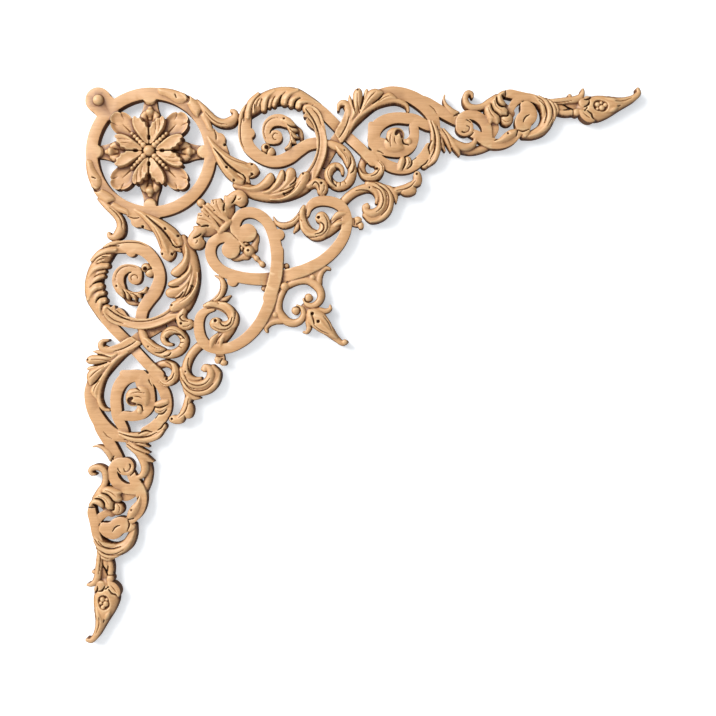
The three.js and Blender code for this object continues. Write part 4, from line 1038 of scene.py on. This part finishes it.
# %% Rows of beads and the ball
beads = []
for turn in (45, 135, 225, 315):
    beads.append(ray("flat", turn, (6, 0, 3.4, 13), (14, 0, 2.6, 13.4), (25, 0, 1.4, 13.8)))
    for i, radius in enumerate((2.7, 2.4, 2.1, 1.8, 1.5)):
        beads.append(knob(*around(turn, 7.8 + 4.1 * i, 0), radius, 18 - 0.4 * i))
beads.append(knob(*ROSETTE, 5.3, 19.9))
print("beads and their stems:", len(beads), "strokes")

# %% One half and the middle
one_half = ring_leaf + side_leaf + crescent + scroll_one + comb + stems_one + small_scroll
one_half += rising_leaf + top_band + scroll_two + outer_scroll + outer_loop + pod_stem + pod
one_half += pod_berries + heart + heart_leaf + outer_leaf_scroll + bracket + palmette + pendant_side
print("strokes in one half", len(one_half))
print("strokes in the middle", len(diagonal) + len(rosette) + len(beads))

# %% [markdown]
# ## How high the wood stands
#
# A height map could be painted by hand, sculpted, or built from solids joined by booleans.
# Working out one height per grid point from the strokes keeps every form soft where it meets
# the next, as a gouge leaves it, and never fails on a thin overlap as a boolean can.
#
# Two maps are kept on the sheet: how far a point lies inside the outline, and how high the
# wood is. A stroke raises both. A groove lowers the height of what was laid before it. Each
# kind of stroke has its own form across: flat, round, hollowed, ridged, or lapping over.

# %% The sheet
LOW = -18.0  # where the sheet starts, mm from the boss
SIDE = int(round(562 / CELL)) + 1  # points along one side
axis = LOW + CELL * np.arange(SIDE)
print("the sheet has", SIDE, "by", SIDE, "points, from", axis[0], "to", round(axis[-1], 1), "mm")


# %% A smooth line through the stations
def curve(stations, step=0.3, ring=False):
    """A smooth line through the stations: rows of u, v, half width, height, every step mm."""
    p = np.array(stations, float)
    p[:, 0] -= BOSS[0]
    p[:, 1] -= BOSS[1]
    before, after = (p[-2], p[1]) if ring else (2 * p[0] - p[1], 2 * p[-1] - p[-2])
    ends = [before, *p, after]
    gaps = [max(math.dist(a[:2], b[:2]), 1e-3) ** 0.5 for a, b in zip(ends, ends[1:])]
    rows = []
    for i in range(1, len(ends) - 2):
        a, b, c, d = ends[i - 1 : i + 3]
        ga, gb, gc = gaps[i - 1 : i + 2]
        steps = max(2, int(math.dist(b[:2], c[:2]) / step))
        t = (np.arange(steps) / steps)[:, None]
        leave = gb * ((b - a) / ga - (c - a) / (ga + gb) + (c - b) / gb)
        reach = gb * ((c - b) / gb - (d - b) / (gb + gc) + (d - c) / gc)
        rows.append(
            (2 * t**3 - 3 * t**2 + 1) * b
            + (t**3 - 2 * t**2 + t) * leave
            + (3 * t**2 - 2 * t**3) * c
            + (t**3 - t**2) * reach
        )
    rows.append(ends[-2][None])
    return np.concatenate(rows)


print("points on a line 10 mm long:", len(curve([(0, 0, 1, 1), (10, 0, 1, 1)])))


# %% The form across a stroke
def across(kind, x, width, top):
    """Height at x across a stroke, from -1 at its left edge to 1 at its right."""
    if kind in ("round", "finger"):
        return top - np.minimum(0.9 * width, 0.46 * top) * (1 - np.sqrt(1 - 0.95 * x * x))
    if kind == "spoon":
        return top - 0.34 * width * (1 - x * x) - 0.16 * width * x**6
    if kind == "ridge":
        return top - 0.62 * width * np.abs(x) ** 1.25
    if kind in ("lap", "lap left"):
        gentle = 0.75 * width * (np.maximum(0.4 - x, 0) / 1.4) ** 1.4
        return top - gentle - 1.2 * width * np.maximum(x - 0.4, 0) ** 2
    if kind == "dome":
        return top - 0.8 * width * (1 - np.sqrt(1 - 0.96 * x * x))
    return top + 0 * x


print("middle and edge of a round stem, mm", across("round", np.array([0.0, 1.0]), 5, 13))


# %% How far a point is from a line
def window_of(line, reach):
    """The part of the sheet around a line: its two slices, and u and v there."""
    lo = np.maximum(((line[:, :2].min(0) - reach - LOW) / CELL).astype(int), 0)
    hi = np.minimum(((line[:, :2].max(0) + reach - LOW) / CELL).astype(int) + 2, SIDE)
    u, v = np.meshgrid(axis[lo[0] : hi[0]], axis[lo[1] : hi[1]], indexing="ij")
    return (slice(lo[0], hi[0]), slice(lo[1], hi[1])), u.astype(np.float32), v.astype(np.float32)


def nearest_on(line, u, v):
    """For each point the nearest station of the line, and how far away it is."""
    best = np.full(u.shape, 1e9, np.float32)
    nearest = np.zeros(u.shape, int)
    for start in range(0, len(line), 64):
        part = line[start : start + 64]
        gap = (u[..., None] - part[:, 0]) ** 2 + (v[..., None] - part[:, 1]) ** 2
        k = gap.argmin(-1)
        value = np.take_along_axis(gap, k[..., None], -1)[..., 0]
        closer = value < best
        best[closer] = value[closer]
        nearest[closer] = k[closer] + start
    return nearest, np.sqrt(best)


def surrounded(line, u, v):
    """Whether each point lies inside the closed line."""
    odd = np.zeros(u.shape, bool)
    for (u0, v0), (u1, v1) in zip(line[:, :2], np.roll(line[:, :2], -1, 0)):
        if v0 != v1:
            hit = (v > min(v0, v1)) & (v <= max(v0, v1))
            odd ^= hit & (u < u0 + (v - v0) * (u1 - u0) / (v1 - v0))
    return odd


print("a point 3 mm beside a line is", nearest_on(np.zeros((1, 4)), *np.array([[3.0], [0.0]]))[1])

# %% Lay a drawn leaf
FLANK = 4.0  # how steeply one stroke drops to the next, mm down per mm out
ROLL = 4.5  # how far in from its edge a leaf curves, mm


def lay_leaf(root, tip, dish, outline, inside, height):
    closed = [(x, y, 0, 0) for x, y in outline]
    line = curve([*closed, closed[0]], ring=True).astype(np.float32)
    window, u, v = window_of(line, 2.5)
    nearest, away = nearest_on(line, u, v)
    depth = np.where(surrounded(line, u, v), away, -away)
    start = np.array(root[:2]) - BOSS
    way = np.array(tip[:2]) - BOSS - start
    share = ((u - start[0]) * way[0] + (v - start[1]) * way[1]) / (way @ way)
    level = root[2] + (tip[2] - root[2]) * np.clip(share, 0, 1)
    level = level - dish * (1 - np.clip(1 - depth / ROLL, 0, 1) ** 2)
    level = np.where(depth > 0, level, level + FLANK * depth)
    inside[window] = np.maximum(inside[window], depth)
    height[window] = np.maximum(height[window], level)


# %% Lay the strokes in their order
VALLEY = 1.5  # how deep the parting tool cuts between two fingers of a leaf, mm
CUTS = ("groove", "drill")
LAPS = ("lap", "lap left")


def lay(strokes, inside, height):
    first = np.zeros_like(height)
    second = np.zeros_like(height)
    for kind, stations in strokes:
        if kind == "leaf":
            lay_leaf(*stations, inside, height)
            continue
        line = curve(stations).astype(np.float32)
        window, u, v = window_of(line, line[:, 2].max() + 2.4)
        nearest, away = nearest_on(line, u, v)
        width = line[nearest, 2]
        top = line[nearest, 3]
        x = np.clip(away / np.maximum(width, 1e-3), 0, 1)
        if kind in CUTS:
            cut = 1 - (x if kind == "groove" else x**3)
            height[window] -= np.where(away < width, top * cut, 0)
            continue
        if kind in LAPS:
            heading = np.gradient(line[:, :2], axis=0)[nearest]
            side = heading[..., 0] * (v - line[nearest, 1]) - heading[..., 1] * (u - line[nearest, 0])
            x = x * np.sign(side) * (1 if kind == "lap" else -1)
        level = across(kind, x, width, top) - FLANK * np.maximum(away - width, 0)
        inside[window] = np.maximum(inside[window], width - away)
        height[window] = np.maximum(height[window], level)
        if kind == "finger" or kind in LAPS:
            second[window] = np.maximum(second[window], np.minimum(first[window], level))
            first[window] = np.maximum(first[window], level)
    valley = np.clip(1 - (first - second) / 0.9, 0, 1) * (first > height - 0.6) * (first > 4)
    height -= VALLEY * valley


inside = np.full((SIDE, SIDE), -9.0)
height = np.zeros((SIDE, SIDE))
lay(one_half, inside, height)
inside = np.maximum(inside, inside.T)
height = np.maximum(height, height.T)
print("both halves cover", round(float((inside > 0).sum()) * CELL * CELL), "square mm")

# %% The ring and the middle
RING = (150.8, 152.5)  # centre of the ring
RING_OUTER = 65.2
RING_INNER = 53.8
u, v = np.meshgrid(axis, axis, indexing="ij")
radius = np.hypot(u - RING[0] + BOSS[0], v - RING[1] + BOSS[1])
ring = (RING_OUTER - RING_INNER) / 2 - np.abs(radius - (RING_OUTER + RING_INNER) / 2)
inside = np.maximum(inside, ring)
height = np.maximum(height, np.where(ring > -1, BOARD, 0))
lay(diagonal, inside, height)
lay(rosette, inside, height)
lay(beads, inside, height)
print("wood covers", round(float((inside > 0).sum()) * CELL * CELL), "square mm")

# %% [markdown]
# ## Softening
#
# Sandpaper rounds the valleys a little and takes the edge off every arris. A bevel and a
# smooth modifier on the finished mesh would also blur the outline. The map is averaged once
# with its neighbours inside the outline instead, then lowered near the outline.

# %% Soften the valleys
def average(field, weight):
    total = field * weight
    share = weight.copy()
    for direction in (0, 1):
        total = np.roll(total, 1, direction) + 2 * total + np.roll(total, -1, direction)
        share = np.roll(share, 1, direction) + 2 * share + np.roll(share, -1, direction)
    return np.where(share > 0, total / np.maximum(share, 1e-9), field)


wood = (inside > 0).astype(float)
sanded = np.where(wood > 0, 0.7 * height + 0.3 * average(height, wood), 0)
spread = wood.copy()
for _ in range(3):
    grown = average(sanded, spread)
    sanded = np.where(spread > 0, sanded, grown)
    spread = (average(spread, np.ones_like(spread)) > 0).astype(float)
print("sanding lowers the wood by up to", round(float((height - sanded)[wood > 0].max()), 1), "mm")

# %% Find the hollows and the nooks
# The hollow and nook maps drive painted shade in the material, and nooks below zero a painted
# highlight.
AROUND = 14.0  # how far out a point's height is averaged to find the broad hollows, mm
BESIDE = 2.4  # the same for the small nooks beside a form, mm
broad = sanded
for _ in range(int(AROUND / CELL)):
    broad = average(broad, spread)
hollow = broad - sanded
beside = sanded
for _ in range(int(BESIDE / CELL)):
    beside = average(beside, spread)
nook = beside - sanded
print("hollows are up to", round(float(hollow[wood > 0].max()), 1), "mm below their surroundings")
print("nooks, mm", np.round(np.percentile(nook[wood > 0], (1, 5, 25, 75, 95, 99)), 2))

# %% [markdown]
# ## The grid pressed into the form
#
# The real board is sawn first and carved second. A displace modifier needs a texture and
# leaves the saw line ragged. Here a flat grid is added, what lies outside the outline is
# deleted, and the ragged border is drawn onto the true outline. Extruding the sheet gives
# walls and a face. The face then rises to the height map, and the back stays flat.

# %% Cut the sheet to the outline
keep = (inside[:-1, :-1] + inside[1:, :-1] + inside[:-1, 1:] + inside[1:, 1:]) > 0
for _ in range(6):
    a, b, c, d = keep[:-1, :-1], keep[1:, :-1], keep[:-1, 1:], keep[1:, 1:]
    pinch = (a & d & ~b & ~c) | (b & c & ~a & ~d)
    if not pinch.any():
        break
    keep[:-1, :-1] |= pinch
    keep[1:, :-1] |= pinch
used = np.zeros((SIDE, SIDE), int)
for i in (0, 1):
    for j in (0, 1):
        used[i : SIDE - 1 + i, j : SIDE - 1 + j] += keep
border = (used > 0) & (used < 4)
print("cells kept", int(keep.sum()), "border points", int(border.sum()))

# %% Draw the border onto the outline
slope_u, slope_v = np.gradient(inside, CELL)
steep = np.maximum(slope_u**2 + slope_v**2, 0.3)
move = np.clip(np.where(border, inside, 0) / steep, -1.2 * CELL, 1.2 * CELL)
u_edge = u - move * slope_u
v_edge = v - move * slope_v
print("border points move by up to", round(float(np.abs(move).max()), 1), "mm")


# %% The height of the face, with rubbed arrises
def sample(field, u_at, v_at):
    i = np.clip((u_at - LOW) / CELL, 0, SIDE - 1.001)
    j = np.clip((v_at - LOW) / CELL, 0, SIDE - 1.001)
    i0, j0 = i.astype(int), j.astype(int)
    fi, fj = i - i0, j - j0
    near = field[i0, j0] * (1 - fj) + field[i0, j0 + 1] * fj
    far = field[i0 + 1, j0] * (1 - fj) + field[i0 + 1, j0 + 1] * fj
    return near * (1 - fi) + far * fi


EDGE = 0.35  # how far the arrises are rubbed down, mm
RUBBED = 0.9  # how far in from the outline they are rubbed, mm
THINNEST = 1.5  # least height of any wood above the back, mm
depth_in = np.where(border, 0, np.maximum(inside, 0))
rubbed = EDGE * np.clip(1 - depth_in / RUBBED, 0, 1) ** 2
face = np.where(border, sample(sanded, u_edge, v_edge), sanded) - rubbed
face = np.maximum(face, THINNEST)
print("highest point of the face, mm", round(float(face[used > 0].max()), 1))

# %% Make the mesh from a grid
for o in bpy.context.selected_objects:
    o.select_set(False)
span = CELL * (SIDE - 1) / 1000
bpy.ops.mesh.primitive_grid_add(x_subdivisions=SIDE - 1, y_subdivisions=SIDE - 1, size=span)
applique = bpy.context.active_object
applique.name = "applique"
sheet = applique.data
place = np.empty(len(sheet.vertices) * 3, np.float32)
sheet.vertices.foreach_get("co", place)
place = place.reshape(-1, 3)
row = np.rint((place[:, 0] / span + 0.5) * (SIDE - 1)).astype(int)
column = np.rint((place[:, 1] / span + 0.5) * (SIDE - 1)).astype(int)
flat = np.stack([u_edge[row, column], 0 * row, -v_edge[row, column]], 1) / 1000
sheet.vertices.foreach_set("co", flat.astype(np.float32).ravel())
for name, field in (("rise", face), ("hollow", hollow), ("nook", nook)):
    layer = sheet.attributes.new(name, "FLOAT", "POINT")
    layer.data.foreach_set("value", field[row, column].astype(np.float32))
print("points in the grid", len(sheet.vertices))

# %% Delete what lies outside
corner = np.empty(len(sheet.loops), np.int32)
sheet.loops.foreach_get("vertex_index", corner)
corner = corner.reshape(-1, 4)
outside = ~keep[row[corner].min(1), column[corner].min(1)]
bpy.ops.object.mode_set(mode="EDIT")
bpy.ops.mesh.select_mode(type="FACE")
bpy.ops.object.mode_set(mode="OBJECT")
sheet.polygons.foreach_set("select", outside)
bpy.ops.object.mode_set(mode="EDIT")
bpy.ops.mesh.delete(type="FACE")
bpy.ops.mesh.select_all(action="SELECT")
bpy.ops.mesh.normals_make_consistent(inside=False)
bpy.ops.object.mode_set(mode="OBJECT")
print("sheet faces", len(sheet.polygons))

# %% Extrude the face and raise it
bpy.ops.object.mode_set(mode="EDIT")
bpy.ops.mesh.select_all(action="SELECT")
bpy.ops.mesh.extrude_region_move(TRANSFORM_OT_translate={"value": (0, -0.001, 0)})
bpy.ops.object.mode_set(mode="OBJECT")
place = np.empty(len(sheet.vertices) * 3, np.float32)
sheet.vertices.foreach_get("co", place)
place = place.reshape(-1, 3)
rise = np.empty(len(sheet.vertices), np.float32)
sheet.attributes["rise"].data.foreach_get("value", rise)
front = place[:, 1] < -0.0005
place[front, 1] = -rise[front] / 1000
sheet.vertices.foreach_set("co", place.ravel())
sheet.update()
print("raised", int(front.sum()), "points, highest", round(float(rise[front].max()), 1), "mm")
bpy.ops.object.mode_set(mode="EDIT")
bpy.ops.mesh.select_all(action="SELECT")
bpy.ops.mesh.normals_make_consistent(inside=False)
bpy.ops.object.mode_set(mode="OBJECT")

# %% [markdown]
# ## Fewer faces where it is flat
#
# The back and the middle of the flat bands need no small cells. A coarser grid would lose
# the veins. The decimate modifier folds edges away in the order of how little they matter,
# so the flat parts give up their faces and the carving keeps its own.

# %% Fold away the flat cells
FACES = 194000
sheet.calc_loop_triangles()
print("triangles before", len(sheet.loop_triangles))
thin = applique.modifiers.new("thin", "DECIMATE")
thin.ratio = min(1, FACES / len(sheet.loop_triangles))
bpy.ops.object.select_all(action="DESELECT")
applique.select_set(True)
bpy.context.view_layer.objects.active = applique
bpy.ops.object.modifier_apply(modifier="thin")
sheet = applique.data
sheet.calc_loop_triangles()
print("triangles", len(sheet.loop_triangles))

# %% Smooth shading between sharp arrises
bpy.ops.object.select_all(action="DESELECT")
applique.select_set(True)
bpy.context.view_layer.objects.active = applique
bpy.ops.object.shade_smooth_by_angle(angle=math.radians(50))
print("smooth faces", sum(p.use_smooth for p in sheet.polygons))

# %% [markdown]
# ## Beech
#
# The wood is pale tan, close-grained, with short flecks and soft streaks along the upper arm.
# An image of beech would show its seams on the carving, so the grain is worked out instead.
# Recesses and small nooks are painted darker, as painted shade, and so are the sawn walls and
# steep slopes. Crests are painted paler, as a painted highlight. The back, which faces +Y, is
# bare planed wood.
# The streaks are noise stretched along X on Object coordinates, so they run through the
# piece as real grain.

# %% Words for the material
wood_mat = bpy.data.materials.new("beech")
wood_mat.use_nodes = True
nodes = wood_mat.node_tree.nodes
links = wood_mat.node_tree.links
shader = nodes["Principled BSDF"]
coords = nodes.new("ShaderNodeTexCoord")


def grain(scale, stretch, detail, rough):
    mapping = nodes.new("ShaderNodeMapping")
    mapping.inputs["Scale"].default_value = stretch
    noise = nodes.new("ShaderNodeTexNoise")
    noise.inputs["Scale"].default_value = scale
    noise.inputs["Detail"].default_value = detail
    noise.inputs["Roughness"].default_value = rough
    links.new(coords.outputs["Object"], mapping.inputs["Vector"])
    links.new(mapping.outputs["Vector"], noise.inputs["Vector"])
    return noise.outputs["Fac"]


def ramp(fac, low, high, start=0.3, end=0.7):
    node = nodes.new("ShaderNodeValToRGB")
    node.color_ramp.elements[0].position = start
    node.color_ramp.elements[1].position = end
    node.color_ramp.elements[0].color = (*low, 1)
    node.color_ramp.elements[1].color = (*high, 1)
    links.new(fac, node.inputs["Fac"])
    return node.outputs["Color"]


def blend(kind, fac, a, b):
    node = nodes.new("ShaderNodeMix")
    node.data_type = "RGBA"
    node.blend_type = kind
    if isinstance(fac, float):
        node.inputs["Factor"].default_value = fac
    else:
        links.new(fac, node.inputs["Factor"])
    links.new(a, node.inputs["A"])
    links.new(b, node.inputs["B"])
    return node.outputs["Result"]


print("material", wood_mat.name, "starts with", len(nodes), "nodes")

# %% Streaks, flecks and clouds of the bare wood
streaks = grain(420, (0.05, 1, 1), 3, 0.5)
flecks = grain(1100, (0.1, 1, 1), 2, 0.5)
clouds = grain(14, (0.5, 1, 1), 2, 0.5)
base = ramp(streaks, (0.56, 0.298, 0.12), (0.665, 0.38, 0.174), 0.3, 0.7)
tint = ramp(clouds, (0.9, 0.87, 0.84), (1, 1, 1), 0.3, 0.7)
fleck = ramp(flecks, (0.84, 0.8, 0.76), (1, 1, 1), 0.34, 0.46)
colour = blend("MULTIPLY", 1.0, base, tint)
colour = blend("MULTIPLY", 0.6, colour, fleck)
bare = colour
print("nodes in the bare wood", len(nodes))

# %% Painted shade in hollows and nooks, painted highlight on crests
# Painted shade: the deeper a point lies below its broad surroundings, the darker and browner its
# colour.
recess = nodes.new("ShaderNodeAttribute")
recess.attribute_name = "hollow"
painted_hollow_shade = ramp(recess.outputs["Fac"], (1.06, 1.06, 1.06), (0.4, 0.28, 0.19), 0.02, 0.9)
colour = blend("MULTIPLY", 0.85, colour, painted_hollow_shade)
# Painted shade: small nooks beside a form are darkened.
nooks = nodes.new("ShaderNodeAttribute")
nooks.attribute_name = "nook"
painted_nook_shade = ramp(nooks.outputs["Fac"], (1, 1, 1), (0.5, 0.34, 0.22), 0.05, 0.55)
colour = blend("MULTIPLY", 0.9, colour, painted_nook_shade)
# Painted highlight: narrow crests are lightened and whitened.
above = nodes.new("ShaderNodeMath")
above.operation = "MULTIPLY"
above.inputs[1].default_value = -1.0
links.new(nooks.outputs["Fac"], above.inputs[0])
painted_crest_highlight = ramp(above.outputs["Value"], (1, 1, 1), (1.16, 1.38, 1.6), 0.03, 0.35)
colour = blend("MULTIPLY", 1.0, colour, painted_crest_highlight)
print("nodes with hollows and crests", len(nodes))

# %% Painted shade on the sawn walls and steep slopes, and the bare back
# Painted shade: the steeper a surface stands, the darker its colour, so the walls are darkest.
lie = nodes.new("ShaderNodeSeparateXYZ")
links.new(coords.outputs["Normal"], lie.inputs["Vector"])
level_of = nodes.new("ShaderNodeMath")
level_of.operation = "ABSOLUTE"
links.new(lie.outputs["Y"], level_of.inputs[0])
painted_wall_shade = ramp(level_of.outputs["Value"], (0.3, 0.19, 0.12), (1, 1, 1), 0.1, 0.78)
colour = blend("MULTIPLY", 0.9, colour, painted_wall_shade)
back = ramp(lie.outputs["Y"], (0, 0, 0), (1, 1, 1), 0.5, 0.9)
colour = blend("MIX", back, colour, bare)
links.new(colour, shader.inputs["Base Color"])

# %% Sheen and pores
shader.inputs["Roughness"].default_value = 0.5
shader.inputs["Specular IOR Level"].default_value = 0.75
bump = nodes.new("ShaderNodeBump")
bump.inputs["Strength"].default_value = 0.12
bump.inputs["Distance"].default_value = 0.0003
links.new(streaks, bump.inputs["Height"])
links.new(bump.outputs["Normal"], shader.inputs["Normal"])
sheet.materials.clear()
sheet.materials.append(wood_mat)
print("nodes in all", len(nodes))

# %% Hand the piece to the frame
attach(applique, "root")
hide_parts("corner_applique")

# %% [markdown]
# ## Stage
#
# The photo shows the piece face on against white, lit softly from the upper left, with a
# short shadow to the lower right. A floor alone couldn't take it, as the piece doesn't
# stand on one. A white wall just behind does. It is drawn only on its front, so that it
# doesn't hide the back of the piece from behind, and it lets through the rays of the last
# 4 mm, so that the back isn't black there.

# %% Plain paint
def plain(name, colour, glow=0.0, one_sided=False):
    material = bpy.data.materials.new(name)
    material.use_nodes = True
    tree = material.node_tree
    surface = tree.nodes["Principled BSDF"]
    surface.inputs["Base Color"].default_value = (*colour, 1)
    surface.inputs["Roughness"].default_value = 0.9
    surface.inputs["Specular IOR Level"].default_value = 0.1
    if one_sided:
        glow_on = tree.nodes.new("ShaderNodeEmission")
        glow_on.inputs["Color"].default_value = (0.9, 0.95, 1, 1)
        glow_on.inputs["Strength"].default_value = glow
        lit = tree.nodes.new("ShaderNodeAddShader")
        dull = tree.nodes.new("ShaderNodeBsdfDiffuse")
        dull.inputs["Color"].default_value = (0.3, 0.3, 0.3, 1)
        path = tree.nodes.new("ShaderNodeLightPath")
        near = tree.nodes.new("ShaderNodeMath")
        near.operation = "LESS_THAN"
        near.inputs[1].default_value = 0.004
        through = tree.nodes.new("ShaderNodeMath")
        through.operation = "MAXIMUM"
        seen = tree.nodes.new("ShaderNodeMixShader")
        facing = tree.nodes.new("ShaderNodeNewGeometry")
        clear = tree.nodes.new("ShaderNodeBsdfTransparent")
        mix = tree.nodes.new("ShaderNodeMixShader")
        tree.links.new(surface.outputs["BSDF"], lit.inputs[0])
        tree.links.new(glow_on.outputs["Emission"], lit.inputs[1])
        tree.links.new(path.outputs["Is Camera Ray"], seen.inputs["Fac"])
        tree.links.new(dull.outputs["BSDF"], seen.inputs[1])
        tree.links.new(lit.outputs["Shader"], seen.inputs[2])
        tree.links.new(path.outputs["Ray Length"], near.inputs[0])
        tree.links.new(facing.outputs["Backfacing"], through.inputs[0])
        tree.links.new(near.outputs["Value"], through.inputs[1])
        tree.links.new(through.outputs["Value"], mix.inputs["Fac"])
        tree.links.new(seen.outputs["Shader"], mix.inputs[1])
        tree.links.new(clear.outputs["BSDF"], mix.inputs[2])
        tree.links.new(mix.outputs["Shader"], tree.nodes["Material Output"].inputs["Surface"])
    return material


# %% The wall and the floor
bpy.ops.object.select_all(action="DESELECT")
UPRIGHT = (math.radians(90), 0, 0)
bpy.ops.mesh.primitive_plane_add(size=8, location=(0.26, 0.0012, -0.26), rotation=UPRIGHT)
wall = bpy.context.active_object
wall.name = "wall"
bpy.ops.object.transform_apply(location=True, rotation=True)
wall.data.materials.append(plain("wall_paint", (0.9, 0.9, 0.9), 0.42, one_sided=True))
bpy.ops.object.select_all(action="DESELECT")
bpy.ops.mesh.primitive_plane_add(size=8, location=(0.26, 0, -1.3))
floor = bpy.context.active_object
floor.name = "floor"
floor.data.materials.append(plain("floor_paint", (0.8, 0.8, 0.8)))
print("stage:", wall.name, "and", floor.name)


# %% Soft lamps
def softbox(name, spot, aim, size, watts):
    bpy.ops.object.light_add(type="AREA", location=spot)
    lamp = bpy.context.active_object
    lamp.name = name
    lamp.data.size = size
    lamp.data.energy = watts
    way = np.array(aim) - np.array(spot)
    across_xy = math.hypot(way[0], way[1])
    lamp.rotation_euler = (math.atan2(across_xy, -way[2]), 0, math.atan2(way[0], -way[1]) + math.pi)
    return lamp


CENTRE = (0.26, 0, -0.26)
softbox("key", (-1.5, -1.65, 1.0), CENTRE, 1.7, 94)
softbox("fill", (0.2, -2.4, 0.8), CENTRE, 1.6, 10)

# %% Sky and camera
world = bpy.data.worlds.new("sky")
world.use_nodes = True
world.node_tree.nodes["Background"].inputs["Color"].default_value = (0.92, 0.95, 1, 1)
world.node_tree.nodes["Background"].inputs["Strength"].default_value = 0.2
bpy.context.scene.world = world
bpy.context.scene.view_settings.view_transform = "Standard"
# The camera stands 1 m from the top of the board, and there the picture is 716 mm wide.
bpy.ops.object.camera_add(location=(0.2605, -1.012, -0.2585), rotation=UPRIGHT)
camera = bpy.context.active_object
camera.data.lens = 36 * 1000 / 716
camera.data.clip_start = 0.01
bpy.context.scene.camera = camera
print("camera at", [round(value, 3) for value in camera.location])
